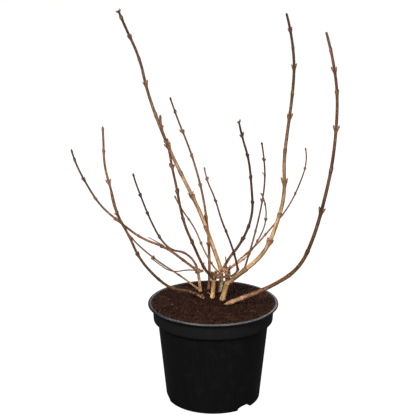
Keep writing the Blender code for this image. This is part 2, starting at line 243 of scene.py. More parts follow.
def new_group(name, inputs, outputs):
    """An empty node group. inputs and outputs are (name, kind, value) and (name, kind)."""
    tree = bpy.data.node_groups.new(name, "ShaderNodeTree")
    for title, kind, value in inputs:
        socket = tree.interface.new_socket(title, in_out="INPUT", socket_type="NodeSocket" + kind)
        if value is not None:
            socket.default_value = value
    for title, kind in outputs:
        tree.interface.new_socket(title, in_out="OUTPUT", socket_type="NodeSocket" + kind)
    entry = tree.nodes.new("NodeGroupInput")
    leave = tree.nodes.new("NodeGroupOutput")
    return tree, Graph(tree), entry.outputs, leave.inputs


def new_material(name):
    """A material with its graph and its Principled shader."""
    made = bpy.data.materials.new(name)
    made.use_nodes = True
    return made, Graph(made.node_tree), made.node_tree.nodes["Principled BSDF"]


def dress(graph, shader, colour, roughness, gloss, normal=None):
    """Fill in the Principled shader. A plain number or colour is set on its own socket."""
    values = {"Base Color": colour, "Roughness": roughness, "Specular IOR Level": gloss}
    if normal is not None:
        values["Normal"] = normal
    for name, value in values.items():
        graph.fill(shader.inputs[name], value)


# %% [markdown]
# ## The floor and the light
#
# A plain white floor, a large soft light in front, above and to the left, a weaker one to the
# right and another behind, so that no side of the plant falls into darkness. Bare twigs need their
# light from the front: it leaves their edges dark, and dark edges are what make them stand out
# from white. So the floor and the sky are white to the camera and dim to the plant. The floor is a
# dark grey that glows for the camera alone.

# %% Make the floor
FLOOR_SIZE = 60
FLOOR_DROP = 0.1 * MM
FLOOR_SHADE = (0.06, 0.06, 0.06, 1)
WHITE = (1, 1, 1, 1)

floor_material, graph, shader = new_material("floor_white")
dress(graph, shader, FLOOR_SHADE, 0.9, 0.0)
shader.inputs["Emission Color"].default_value = WHITE
graph.fill(shader.inputs["Emission Strength"],
           graph.add("LightPath", {}, output="Is Camera Ray"))
half = FLOOR_SIZE / 2
floor_mesh = bpy.data.meshes.new("floor")
floor_mesh.from_pydata([(-half, -half, 0), (half, -half, 0), (half, half, 0), (-half, half, 0)],
                       [], [(0, 1, 2, 3)])
floor_mesh.materials.append(floor_material)
floor = bpy.data.objects.new("floor", floor_mesh)
floor.location.z = -FLOOR_DROP
bpy.context.scene.collection.objects.link(floor)
floor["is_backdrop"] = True

# %% Light it
SKY_FOR_PLANT = 0.2
SKY_IN_GLOSS = 0.004            # black plastic would mirror a bright sky along its edges
LIGHTS = {
    # name: (place, size in metres, power in watts)
    "key": ((-0.9, -2.2, 1.9), 1.0, 128),
    "fill": ((1.5, -2.0, 1.0), 1.2, 40),
    "back": ((0.4, 2.2, 1.9), 1.6, 75),
}
AIM = Vector((0, 0, 0.28))

world = bpy.data.worlds.new("sky")
bpy.context.scene.world = world
world.use_nodes = True
sky = Graph(world.node_tree)
backdrop = world.node_tree.nodes["Background"]
ray = sky.node("LightPath", {}).outputs
backdrop.inputs["Color"].default_value = WHITE
dim = sky.span(ray["Is Glossy Ray"], SKY_FOR_PLANT, SKY_IN_GLOSS)
sky.fill(backdrop.inputs["Strength"], sky.maths("MAXIMUM", dim, ray["Is Camera Ray"]))
for name, (place, size, power) in LIGHTS.items():
    light = bpy.data.lights.new(name, "AREA")
    light.size = size
    light.energy = power
    item = bpy.data.objects.new(name, light)
    item.location = place
    item.rotation_euler = (AIM - Vector(place)).to_track_quat("-Z", "Y").to_euler()
    bpy.context.scene.collection.objects.link(item)
bpy.context.scene.view_settings.view_transform = "Standard"
print("lights:", sorted(LIGHTS))

# %% [markdown]
# ## Shared finishes
#
# Four effects turn up in more than one finish here. `Fibres` are streaks that run along a stem or
# a scuffed wall. `Blotches` are soft patches. `Dots` are the small corky pores of young bark, and
# the specks in compost. `Soil` is the peat that clings to whatever stands close over it.

# %% Build the shared groups
def place_in_cells(graph, place, width, length):
    """A place in metres counted in cells of a width and a length in millimetres."""
    across = graph.maths("DIVIDE", 1 / MM, width)
    along = graph.maths("DIVIDE", 1 / MM, length)
    cells = graph.add("CombineXYZ", {"X": across, "Y": across, "Z": along})
    return graph.add("VectorMath", {0: place, 1: cells}, operation="MULTIPLY")


def soft_step(graph, value, entry):
    """A mask from a value, by the Threshold and the Softness that its group is given."""
    low = graph.maths("SUBTRACT", entry["Threshold"], entry["Softness"])
    high = graph.maths("ADD", entry["Threshold"], entry["Softness"])
    return graph.fade(value, low, high)


fibres, graph, entry, leave = new_group(
    "Fibres",
    [("Place", "Vector", None), ("Width", "Float", 0.5), ("Length", "Float", 12.0),
     ("Threshold", "Float", 0.5), ("Softness", "Float", 0.12)],
    [("Mask", "Float"), ("Height", "Float")])
cells = place_in_cells(graph, entry["Place"], entry["Width"], entry["Length"])
threads = graph.noise(cells, 1.0, 4.0)
graph.fill(leave["Mask"], soft_step(graph, threads, entry))
graph.fill(leave["Height"], threads)

blotches, graph, entry, leave = new_group(
    "Blotches",
    [("Place", "Vector", None), ("Size", "Float", 8.0), ("Threshold", "Float", 0.5),
     ("Softness", "Float", 0.15)],
    [("Mask", "Float")])
cells = place_in_cells(graph, entry["Place"], entry["Size"], entry["Size"])
graph.fill(leave["Mask"], soft_step(graph, graph.noise(cells, 1.0, 3.0), entry))

dots, graph, entry, leave = new_group(
    "Dots",
    [("Place", "Vector", None), ("Spacing", "Float", 2.0), ("Stretch", "Float", 1.6),
     ("Size", "Float", 0.3), ("Share", "Float", 0.5)],
    [("Mask", "Float")])
length = graph.maths("MULTIPLY", entry["Spacing"], entry["Stretch"])
cells = place_in_cells(graph, entry["Place"], entry["Spacing"], length)
grains = graph.node("TexVoronoi", {"Vector": cells, "Scale": 1.0, "Randomness": 1.0})
inner = graph.maths("MULTIPLY", entry["Size"], 0.6)
near = graph.inverse(graph.fade(grains.outputs["Distance"], inner, entry["Size"]))
lot = graph.add("SeparateColor", {"Color": grains.outputs["Color"]})
kept = graph.maths("LESS_THAN", lot, entry["Share"])
graph.fill(leave["Mask"], graph.maths("MULTIPLY", near, kept))

soil, graph, entry, leave = new_group(
    "Soil",
    [("Level", "Float", 145.0), ("Reach", "Float", 10.0), ("Ragged", "Float", 0.6)],
    [("Mask", "Float")])
spot = graph.spot()
height = graph.maths("DIVIDE", graph.axis(spot, "Z"), MM)
above = graph.maths("DIVIDE", graph.maths("SUBTRACT", height, entry["Level"]), entry["Reach"])
ragged = graph.maths("MULTIPLY", graph.maths("SUBTRACT", graph.noise(spot, 700.0, 4.0), 0.5),
                     graph.maths("MULTIPLY", entry["Ragged"], 4.0))
graph.fill(leave["Mask"], graph.inverse(graph.fade(graph.maths("ADD", above, ragged), 0.0, 1.0)))
print("groups:", [group.name for group in bpy.data.node_groups])

# %% [markdown]
# ## The pot
#
# A nursery pot is blown or moulded from thin black plastic: a tapering body, a wider collar that
# the pots stack on, and a lip rolled outwards for stiffness. Being round, it is one outline spun
# round its axis. The outline's corners are small arcs, because a moulded edge is never sharp and
# it is the arc that catches the light. The drain recesses are cut out of the foot afterwards.

# %% Set the pot's sizes
POT_HEIGHT = 147.5 * MM
RIM_RADIUS = 95.4 * MM
LIP_THICKNESS = 3.2 * MM
LIP_WIDTH = 4.6 * MM
COLLAR_TOP_RADIUS = 88.8 * MM
COLLAR_FOOT_RADIUS = 87.5 * MM
COLLAR_FOOT_HEIGHT = 122 * MM
BODY_TOP_RADIUS = 81.3 * MM
BASE_RADIUS = 69.3 * MM
BASE_CORNER = 3 * MM
WALL = 1.5 * MM
FLOOR_THICKNESS = 2.2 * MM
POT_SIDES = 192
EDGE_ROUNDING = 0.7 * MM
RECESS_COUNT = 3
RECESS_BEARING = -48
RECESS_WIDTH = 26 * MM
RECESS_HEIGHT = 7 * MM
RECESS_DEPTH = 12 * MM
RECESS_SHOULDER = 0.4           # the roof's height at the recess's sides, as a share
RECESS_COLUMNS = 24
SHARP_ANGLE = 50                # edges of the pot that turn by more degrees stay sharp


def arc(centre, radius, start, end, steps=5):
    """Points on an arc in the (radius, height) plane, from one angle to another in degrees."""
    return [(centre[0] + radius * math.cos(angle), centre[1] + radius * math.sin(angle))
            for angle in np.radians(np.linspace(start, end, steps))]


def body_radius(height):
    share = (height - BASE_CORNER) / (COLLAR_FOOT_HEIGHT - BASE_CORNER)
    return BASE_RADIUS + (BODY_TOP_RADIUS - BASE_RADIUS) * share


# %% Draw its outline
# Points of (radius, height): the foot, its corner, the body, the step out to the collar, the
# collar and the rolled lip, and then down the inside to the floor. The flat and the sloping
# stretches have a few points more than they need, so that the faces between them stay short.
FOOT_RADII = (20 * MM, 45 * MM, 60 * MM)
BODY_HEIGHTS = np.linspace(10 * MM, 115 * MM, 12)
COLLAR_SHARES = (0.25, 0.5, 0.75, 0.94)

lip_round = LIP_THICKNESS / 2
lip_middle = POT_HEIGHT - lip_round
under_lip = POT_HEIGHT - LIP_THICKNESS
outside = [
    (0, 0),
    *[(radius, 0) for radius in FOOT_RADII],
    *arc((BASE_RADIUS - BASE_CORNER, BASE_CORNER), BASE_CORNER, -90, 0, 7),
    *[(body_radius(height), height) for height in BODY_HEIGHTS],
    (BODY_TOP_RADIUS, COLLAR_FOOT_HEIGHT - EDGE_ROUNDING),
    *arc((COLLAR_FOOT_RADIUS - EDGE_ROUNDING, COLLAR_FOOT_HEIGHT + EDGE_ROUNDING),
         EDGE_ROUNDING, -90, 0),
    *[(COLLAR_FOOT_RADIUS + (COLLAR_TOP_RADIUS - COLLAR_FOOT_RADIUS) * share,
       COLLAR_FOOT_HEIGHT + (under_lip - COLLAR_FOOT_HEIGHT) * share)
      for share in COLLAR_SHARES],
    *arc((COLLAR_TOP_RADIUS + EDGE_ROUNDING, under_lip - EDGE_ROUNDING), EDGE_ROUNDING, 180, 90),
    *arc((RIM_RADIUS - lip_round, lip_middle), lip_round, -90, 80, 10),
    *arc((RIM_RADIUS - LIP_WIDTH + EDGE_ROUNDING, POT_HEIGHT - EDGE_ROUNDING), EDGE_ROUNDING,
         90, 135, 4),
]
inside = [
    (COLLAR_TOP_RADIUS - WALL + 0.2 * MM, under_lip - 0.3 * MM),
    (COLLAR_TOP_RADIUS - WALL, under_lip - 1.2 * MM),
    (COLLAR_FOOT_RADIUS - WALL, COLLAR_FOOT_HEIGHT + 3 * WALL),
    (BODY_TOP_RADIUS - WALL, COLLAR_FOOT_HEIGHT + WALL),
    (body_radius(2 * BASE_CORNER) - WALL, 2 * BASE_CORNER),
    (body_radius(FLOOR_THICKNESS) - WALL - BASE_CORNER, FLOOR_THICKNESS),
    (0, FLOOR_THICKNESS),
]
outline = outside + inside
print("outline points:", len(outline))


# %% Spin it
def spin(outline, sides):
    """A closed skin from an outline that starts and ends on the axis."""
    points = [(radius * math.cos(angle), radius * math.sin(angle), height)
              for radius, height in outline[1:-1] for angle in around(sides)]
    faces = ring_faces(len(outline) - 2, sides)
    last = len(points)
    points += [(0, 0, outline[0][1]), (0, 0, outline[-1][1])]
    top = last - sides
    for side in range(sides):
        following = (side + 1) % sides
        faces.append((last, following, side))
        faces.append((last + 1, top + side, top + following))
    return points, faces


def recess_roof(across, grow):
    """The height of a recess's arched roof at a distance from its middle."""
    half = RECESS_WIDTH / 2 + grow
    rise = math.sqrt(max(0, 1 - (across / half) ** 2))
    return (RECESS_HEIGHT + grow) * (RECESS_SHOULDER + (1 - RECESS_SHOULDER) * rise)


def recess_block(turn, grow, floor_height, outer_radius):
    """A solid in the shape of a recess, turned round the pot's axis, to add or to cut."""
    half = RECESS_WIDTH / 2 + grow
    inner = BASE_RADIUS - RECESS_DEPTH - grow
    points = []
    for across in -half * np.cos(np.pi * np.arange(RECESS_COLUMNS + 1) / RECESS_COLUMNS):
        outer = math.sqrt(outer_radius ** 2 - across ** 2)
        roof = recess_roof(across, grow)
        for x, z in ((inner, floor_height), (outer, floor_height), (outer, roof), (inner, roof)):
            points.append((x * math.cos(turn) - across * math.sin(turn),
                           x * math.sin(turn) + across * math.cos(turn), z))
    mesh = bpy.data.meshes.new("cutter")
    mesh.from_pydata(points, [], tube_faces(RECESS_COLUMNS + 1, 4))
    shape = bmesh.new()
    shape.from_mesh(mesh)
    bmesh.ops.recalc_face_normals(shape, faces=shape.faces)
    shape.to_mesh(mesh)
    shape.free()
    item = bpy.data.objects.new("cutter", mesh)
    bpy.context.scene.collection.objects.link(item)
    return item


def combine(item, other, operation):
    """Add another object to an item, or cut it out, and remove it."""
    cut = item.modifiers.new("combine", "BOOLEAN")
    cut.operation = operation
    cut.solver = "EXACT"
    cut.object = other
    graph_now = bpy.context.evaluated_depsgraph_get()
    item.data = bpy.data.meshes.new_from_object(item.evaluated_get(graph_now))
    item.modifiers.clear()
    bpy.data.objects.remove(other, do_unlink=True)


# %% [markdown]
# ### Its plastic
#
# Recycled black polypropylene is satin, not glossy. Light finds the lip and the collar's edges.
# Close to, the wall has a fine moulded grain, faint upright flow marks and a few dry scuffs. The
# collar is painted a little lighter than the body under it, a painted highlight. Peat dust has
# settled on the lip, and a painted highlight runs along its round edge, most on the front.

# %% Mix the black plastic
PLASTIC_BLACK = (0.0037, 0.0037, 0.0037, 1)
PLASTIC_FLOW = (0.0047, 0.0047, 0.0047, 1)
PLASTIC_SCUFF = (0.0061, 0.0061, 0.0060, 1)
# A painted highlight for the collar.
PLASTIC_COLLAR_HIGHLIGHT = (0.0087, 0.0088, 0.0089, 1)
# A painted highlight for the lip's round edge.
PLASTIC_LIP_HIGHLIGHT = (0.1350, 0.1360, 0.1380, 1)
DUST_BROWN = (0.0117, 0.0088, 0.0073, 1)
LIP_HIGHLIGHT_SHARE = 0.6                 # how much of the lip's thickness has the painted highlight, from its top

plastic, graph, shader = new_material("black_plastic")
spot = graph.spot()
marks = graph.use(fibres, Place=spot, Width=3.0, Length=70.0, Threshold=0.56, Softness=0.2)
scuffs = graph.use(blotches, Place=spot, Size=14.0, Threshold=0.62, Softness=0.1)
colour = graph.mix(marks["Mask"], PLASTIC_BLACK, PLASTIC_FLOW)
colour = graph.lay(colour, PLASTIC_SCUFF, scuffs["Mask"], 0.5)
height = graph.axis(spot, "Z")
# The collar is painted lighter than the body under it: a painted highlight.
collar_highlight = graph.fade(height, COLLAR_FOOT_HEIGHT - MM, COLLAR_FOOT_HEIGHT + 4 * MM)
colour = graph.lay(colour, PLASTIC_COLLAR_HIGHLIGHT, collar_highlight, 0.75)
up = graph.axis(graph.add("NewGeometry", {}, output="Normal"), "Z")
settled = graph.maths("MULTIPLY", graph.fade(up, 0.6, 0.95),
                      graph.fade(graph.noise(spot, 260.0, 5.0), 0.42, 0.72))
colour = graph.lay(colour, DUST_BROWN, settled, 0.6)
# A painted highlight along the lip's round outer edge, strongest on the front.
lip_highlight = graph.maths("MULTIPLY", graph.fade(up, 0.25, 0.6),
                     graph.inverse(graph.fade(up, 0.8, 0.97)))
for part in (graph.span(graph.axis(spot, "Y"), 1.0, 0.15, -RIM_RADIUS, -0.5 * RIM_RADIUS),
             graph.maths("GREATER_THAN", height, POT_HEIGHT - LIP_HIGHLIGHT_SHARE * LIP_THICKNESS),
             graph.span(graph.noise(spot, 35.0, 3.0), 0.3, 1.0, 0.35, 0.65)):
    lip_highlight = graph.maths("MULTIPLY", lip_highlight, part)
colour = graph.mix(lip_highlight, colour, PLASTIC_LIP_HIGHLIGHT)
relief = graph.maths("ADD", graph.maths("MULTIPLY", graph.noise(spot, 2200.0, 2.0), 0.25),
                     graph.maths("MULTIPLY", marks["Height"], 0.75))
dress(graph, shader, colour, graph.span(scuffs["Mask"], 0.36, 0.52), 0.08,
      graph.bump(relief, 0.05 * MM, 0.5))

# %% Build the pot
shell = Shell()
shell.add(*spin(outline, POT_SIDES))
pot = add_piece("pot_shell", shell, plastic, ["pot"])
for number in range(RECESS_COUNT):
    turn = math.radians(RECESS_BEARING + 360 * number / RECESS_COUNT)
    # A recess's housing starts inside the floor and ends inside the wall, so that they join.
    combine(pot, recess_block(turn, WALL, 0.8 * FLOOR_THICKNESS, BASE_RADIUS - 0.45 * WALL),
            "UNION")
    combine(pot, recess_block(turn, 0, -FLOOR_THICKNESS, 2 * BASE_RADIUS), "DIFFERENCE")
pot.data.shade_smooth()
pot.data.set_sharp_from_angle(angle=math.radians(SHARP_ANGLE))
print("pot faces:", len(pot.data.polygons))

# %% [markdown]
# ## The compost
#
# Peat compost is a bed of crumbs. Its surface is a disc of rings lifted by layers of noise, from
# slow swells down to crumbs a millimetre across, and it lies up against the lip all round. Loose
# crumbs, a little pale grit and some root fibres lie on it, each kind joined into one mesh.

# %% Shape its surface
WALL_GAP = 0.3 * MM
COMPOST_HEIGHT = 145.2 * MM
COMPOST_EDGE_RISE = 1.0 * MM
COMPOST_FLAT_RADIUS = 70 * MM
COMPOST_RADIUS = RIM_RADIUS - LIP_WIDTH - WALL_GAP
COMPOST_LIMIT = POT_HEIGHT - 0.6 * MM
COMPOST_RELIEF = ((22, 0.9), (7, 0.9), (3.2, 0.8), (1.6, 0.45))   # (size, depth) in mm
COMPOST_SIDES = 288
COMPOST_RING = 1.1 * MM
COMPOST_WALL = (                # (radius, height) from under the lip down to the pot's floor
    (COLLAR_TOP_RADIUS, under_lip + 0.5 * MM),
    (COLLAR_TOP_RADIUS - WALL - WALL_GAP, under_lip - 1.5 * MM),
    (COLLAR_FOOT_RADIUS - WALL - WALL_GAP, COLLAR_FOOT_HEIGHT + 4 * WALL),
    (BODY_TOP_RADIUS - WALL - WALL_GAP, COLLAR_FOOT_HEIGHT + WALL),
    (body_radius(16 * MM) - WALL - WALL_GAP, 16 * MM),
    (BASE_RADIUS - 20 * MM, 10 * MM),
)


def compost_level(x, y):
    """The height of the compost at a place."""
    radius = math.hypot(x, y)
    edge = max(0, radius - COMPOST_FLAT_RADIUS) / (COMPOST_RADIUS - COMPOST_FLAT_RADIUS)
    level = COMPOST_HEIGHT + COMPOST_EDGE_RISE * edge ** 2
    for size, depth in COMPOST_RELIEF:
        cell = Vector((x / (size * MM), y / (size * MM), size))
        level += depth * MM * noise.noise(cell) * (1 - 0.5 * edge)
    return min(level, COMPOST_LIMIT)


def compost_bed():
    """The skin of the compost: its relief, its side along the wall, and its flat underside."""
    points = [(0, 0, compost_level(0, 0))]
    rings = round(COMPOST_RADIUS / COMPOST_RING)
    angles = around(COMPOST_SIDES)
    for ring in range(1, rings + 1):
        for angle in angles + 0.5 * (ring % 2) * angles[1]:
            x = COMPOST_RADIUS * ring / rings * math.cos(angle)
            y = COMPOST_RADIUS * ring / rings * math.sin(angle)
            points.append((x, y, compost_level(x, y)))
    points += [(radius * math.cos(angle), radius * math.sin(angle), height)
               for radius, height in COMPOST_WALL for angle in angles]
    faces = [(0, 1 + side, 1 + (side + 1) % COMPOST_SIDES) for side in range(COMPOST_SIDES)]
    faces += [tuple(reversed(face))
              for face in ring_faces(rings + len(COMPOST_WALL), COMPOST_SIDES, 1)]
    faces.append(tuple(range(len(points) - 1, len(points) - 1 - COMPOST_SIDES, -1)))
    return points, faces


# %% [markdown]
# ### Its colours
#
# Damp peat is nearly black-brown and dries to a paler, redder brown. The finish starts from two
# browns in crumb-sized patches, and lays dry patches, dark patches, pale specks and a painted
# shade between the old stems on them. Loose crumbs use the same finish, each made lighter or
# darker by its own number.

# %% Mix its colours
PEAT_DARK = (0.0084, 0.0037, 0.0022, 1)
PEAT_BROWN = (0.0248, 0.0089, 0.0046, 1)
PEAT_DRY = (0.0438, 0.0175, 0.0091, 1)
PEAT_PALE = (0.0730, 0.0438, 0.0292, 1)
PAINTED_SHADE_PLACE = (0.014, 0.028, 0.146)   # between the old stems, where shade is painted on the compost
PAINTED_SHADE_REACH = (0.035, 0.075)


def compost_material(name, shade):
    """Peat in its own colours. shade names the number on each crumb. The bed has none."""
    made, graph, shader = new_material(name)
    spot = graph.spot()
    crumbs = graph.use(blotches, Place=spot, Size=3.0, Threshold=0.5, Softness=0.08)
    patches = graph.use(blotches, Place=spot, Size=16.0, Threshold=0.52, Softness=0.2)
    dark_patches = graph.use(blotches, Place=spot, Size=9.0, Threshold=0.52, Softness=0.1)
    specks = graph.use(dots, Place=spot, Spacing=1.8, Stretch=1.0, Size=0.36, Share=0.2)
    apart = graph.add("VectorMath", {0: spot, 1: PAINTED_SHADE_PLACE}, output="Value",
                      operation="DISTANCE")
    apart = graph.maths("ADD", apart, graph.maths("MULTIPLY", graph.noise(spot, 55.0, 3.0), 0.04))
    # A painted shade on the compost between the old stems.
    painted_shade = graph.inverse(graph.fade(apart, *PAINTED_SHADE_REACH))
    colour = graph.mix(crumbs["Mask"], PEAT_DARK, PEAT_BROWN)
    colour = graph.lay(colour, PEAT_DRY, patches["Mask"], 0.7)
    # Dark patches are laid at random over the compost.
    colour = graph.lay(colour, PEAT_DARK, dark_patches["Mask"], 0.7)
    colour = graph.lay(colour, PEAT_DRY, specks["Mask"], 0.8)
    colour = graph.lay(colour, PEAT_DARK, painted_shade, 0.7)
    if shade:
        lot = graph.attribute(shade)
        colour = graph.lay(colour, PEAT_DRY, graph.fade(lot, 0.45, 0.95), 0.5)
        colour = graph.lay(colour, PEAT_DARK, graph.inverse(graph.fade(lot, 0.05, 0.4)), 0.7)
        colour = graph.mix(graph.fade(lot, 0.99, 0.995), colour, PEAT_PALE)
    dress(graph, shader, colour, graph.span(crumbs["Mask"], 0.82, 1.0), 0.05,
          graph.bump(graph.noise(spot, 1500.0, 5.0), 0.6 * MM, 0.8))
    return made


peat = compost_material("peat_compost", None)
peat_crumb = compost_material("peat_crumb", "lot")
shell = Shell()
shell.add(*compost_bed())
bed = add_piece("compost_bed", shell, peat, ["compost"])
print("compost faces:", len(bed.data.polygons))

# %% [markdown]
# ### Crumbs, grit and fibres
#
# A crumb is a twenty-sided lump with its corners pushed about. Its size is drawn so that small
# ones are common and large ones rare. Each carries one number that its material turns into a
# shade, and only about one in a hundred is pale grit.

# %% Strew them
CRUMB_COUNT = 7500
CRUMB_RADIUS = (0.4 * MM, 1.9 * MM)
CRUMB_RARITY = 4                # the higher, the rarer the large ones
CRUMB_LIFT = 0.25               # how far its middle lies above the bed, in its radii
CRUMB_STRETCH = (0.6, 1.2)
CRUMB_LUMPS = (0.75, 1.25)
chance = random.Random(11)


def round_ball(subdivisions):
    """Points and faces of a ball. With one subdivision it has twenty sides."""
    shape = bmesh.new()
    bmesh.ops.create_icosphere(shape, subdivisions=subdivisions, radius=1)
    points = [vertex.co.copy() for vertex in shape.verts]
    faces = [tuple(vertex.index for vertex in face.verts) for face in shape.faces]
    shape.free()
    return points, faces


def place_on_compost(reach=0.985):
    """A place drawn evenly over the compost, out to a share of its radius."""
    radius = reach * COMPOST_RADIUS * math.sqrt(chance.random())
    angle = chance.uniform(0, 2 * math.pi)
    x, y = radius * math.cos(angle), radius * math.sin(angle)
    return Vector((x, y, compost_level(x, y)))


ball_points, ball_faces = round_ball(1)
crumbs = Shell()
for number in range(CRUMB_COUNT):
    low, high = CRUMB_RADIUS
    size = low + (high - low) * chance.random() ** CRUMB_RARITY
    centre = place_on_compost() + Vector((0, 0, CRUMB_LIFT * size))
    stretch = [chance.uniform(*CRUMB_STRETCH) for axis in range(3)]
    lot = chance.random()
    crumbs.add([centre + Vector([c * s * size * chance.uniform(*CRUMB_LUMPS)
                                 for c, s in zip(point, stretch)]) for point in ball_points],
               ball_faces, lot=[lot] * len(ball_points))
add_piece("compost_crumbs", crumbs, peat_crumb)
print("crumbs:", CRUMB_COUNT, "faces:", len(crumbs.faces))


# %% [markdown]
# ### A thin thread
#
# Root fibres, twigs and stems are all tubes along a line. The plain one below has a few sides and
# one radius, and is enough for a fibre that is thinner than a hair of bark. One thicker, pale root
# arches over the compost between the left and the middle stem.

# %% Lay the fibres
FIBRE_COUNT = 50
FIBRE_POINTS = 7
FIBRE_STEP = (0.5, 1.3)         # in mm, as are the next two
FIBRE_RADIUS = (0.07, 0.2)
FIBRE_LIFT = 0.25
FIBRE_BEND = 0.5                # the most that it turns at each point, in radians
FIBRE_DARK = (0.05, 0.026, 0.015, 1)
FIBRE_PALE = (0.42, 0.33, 0.24, 1)
ROOT_FROM = (-9.5, 42)          # in mm, as are the next four
ROOT_ACROSS = (6.5, -13)
ROOT_RADIUS = 0.28
ROOT_LIFT = 0.5
ROOT_ARCH = 2.0
ROOT_POINTS = 9


def thread(line, radius, sides=4):
    """A closed tube of one radius along a line of points, thinner at both ends."""
    points = []
    for number, point in enumerate(line):
        before = line[max(number - 1, 0)]
        after = line[min(number + 1, len(line) - 1)]
        along = (after - before).normalized()
        first = along.cross(Vector((0.3, 0.2, 1))).normalized()
        second = along.cross(first)
        share = number / (len(line) - 1)
        width = radius * (0.35 + 0.65 * math.sin(math.pi * share) ** 0.5)
        for angle in around(sides):
            points.append(point + (first * math.cos(angle) + second * math.sin(angle)) * width)
    return points, tube_faces(len(line), sides)


def on_compost(x, y, above):
    return Vector((x, y, compost_level(x, y) + above))


root_fibre, graph, shader = new_material("root_fibre")
dress(graph, shader, graph.mix(graph.attribute("lot"), FIBRE_DARK, FIBRE_PALE), 0.8, 0.2)
strands = Shell()
for number in range(FIBRE_COUNT):
    start = place_on_compost(0.9)
    heading = chance.uniform(0, 2 * math.pi)
    turn = chance.uniform(-FIBRE_BEND, FIBRE_BEND)
    step = chance.uniform(*FIBRE_STEP) * MM
    line = []
    x, y = start.x, start.y
    for place in range(FIBRE_POINTS):
        line.append(on_compost(x, y, FIBRE_LIFT * MM))
        x += step * math.cos(heading)
        y += step * math.sin(heading)
        heading += turn
    points, faces = thread(line, chance.uniform(*FIBRE_RADIUS) * MM)
    lot = chance.random() ** 2
    strands.add(points, faces, lot=[lot] * len(points))
line = [on_compost(ROOT_FROM[0] * MM + ROOT_ACROSS[0] * MM * share,
                   ROOT_FROM[1] * MM + ROOT_ACROSS[1] * MM * share,
                   (ROOT_LIFT + ROOT_ARCH * math.sin(math.pi * share)) * MM)
        for share in np.linspace(0, 1, ROOT_POINTS)]
points, faces = thread(line, ROOT_RADIUS * MM, 6)
strands.add(points, faces, lot=[1.0] * len(points))
add_piece("compost_fibres", strands, root_fibre)
print("fibres:", FIBRE_COUNT + 1)

# %% [markdown]
# ## The limbs
#
# A stem is told in few numbers: where it starts, the compass direction it leans to, how far from
# the vertical it leans at equal stations, its length, its radius at both ends, and where its
# joints are. Walking up it in millimetre steps gives its centre line. The solids were made by the
# same walk, so the bark made here lies where they are. Millimetres and degrees are turned into
# metres and radians where a limb is made and walked.

# %% Define a limb
STEP = 1 * MM
FOOT_HEIGHT = 145.5 * MM
FLARE_LENGTH = 12 * MM
SINK = 4 * MM                   # how far a stem runs on under the compost
UP = np.array((0.0, 0.0, 1.0))


class Limb:
    """One stem, bough or shoot. start is (x, y) on the compost or (limb, distance along it)."""

    def __init__(self, name, bark, start, heading, length, leans, radii, joints=(), turn=0,
                 spurs=(), knuckle=1.0, split=False, tone=(0.0, 0.0), flare=0.25,
                 bleached=(0, 0), bare=0, knot=0.0, tip="bud"):
        self.name = name
        self.bark = bark
        self.start = start
        self.heading = heading
        self.length = length * MM
        self.leans = leans
        self.foot_radius = radii[0] * MM
        self.tip_radius = radii[1] * MM
        self.joints = [distance * MM for distance in joints]
        self.turn = turn
        self.spurs = spurs
        self.knuckle = knuckle
        self.nodes = [name + "_lower", name + "_upper"] if split else [name]
        self.tone = tone
        self.flare = flare
        self.bleached = bleached[0] * MM
        self.bleaching = bleached[1]
        self.bare = bare * MM
        self.knot = knot
        self.tip = tip

    def from_compost(self):
        return not isinstance(self.start[0], str)

    def axes(self, distances):
        """Unit vectors along the limb, out to the side it leans to, and level across it."""
        share = np.clip(np.asarray(distances, float) / self.length, 0, 1)
        lean = np.radians(np.interp(share, np.linspace(0, 1, len(self.leans)), self.leans))
        heading = np.radians(self.heading + self.turn * share)
        out = np.stack([np.cos(heading), np.sin(heading), 0 * heading], -1)
        sine, cosine = np.sin(lean)[..., None], np.cos(lean)[..., None]
        along = out * sine + UP * cosine
        outward = out * cosine - UP * sine
        return along, outward, np.cross(along, outward)

    def place(self, foot):
        """Walk up the limb from its foot."""
        steps = (np.arange(round(self.length / STEP)) + 0.5) * STEP
        walked = np.cumsum(self.axes(steps)[0] * STEP, axis=0)
        self.points = np.vstack([foot, foot + walked])

    def buried_axes(self, distances):
        """The axes, but a stem under the compost turns upright, so that its end stays hidden."""
        along, outward, across = self.axes(distances)
        depth = np.clip(-np.asarray(distances, float) / SINK, 0, 1)[..., None]
        if self.from_compost():
            along = along * (1 - depth) + UP * depth
            along /= np.linalg.norm(along, axis=-1, keepdims=True)
            outward = np.cross(across, along)
        return along, outward, across

    def point(self, distances):
        """Points on the centre line, which runs on straight past both of its ends."""
        distances = np.asarray(distances, float)
        number = np.clip(np.floor(distances / STEP), 0, len(self.points) - 1).astype(int)
        rest = (distances - number * STEP)[..., None]
        return self.points[number] + self.buried_axes(distances)[0] * rest

    def tone_at(self, distances):
        stations = np.linspace(0, self.length, len(self.tone))
        return np.interp(distances, stations, self.tone)

    def radius(self, distances):
        share = np.clip(np.asarray(distances, float) / self.length, 0, 1)
        even = self.foot_radius + (self.tip_radius - self.foot_radius) * share
        if self.from_compost():
            near = np.clip(1 - np.abs(distances) / FLARE_LENGTH, 0, 1)
            even = even * (1 + self.flare * near ** 2)
        return even


# %% [markdown]
# ### What grows here
#
# Three old stems end in knuckles, and five younger stems rise beside them. Everything else grows
# from one of those. What a limb may have besides its line:
#
# - knuckle is how many times wider its cut end is, and knot how gnarled the bark there is;
# - spurs are (joint, bearing round the limb, length), and split says that its solid is in two;
# - tone makes its bark darker or lighter at equal stations from its foot to its tip;
# - flare widens or narrows a foot, and bleached is (reach, strength) of a foot the sun made pale;
# - below bare the old buds have fallen; tip is a small bud, a pair of buds, or blunt.

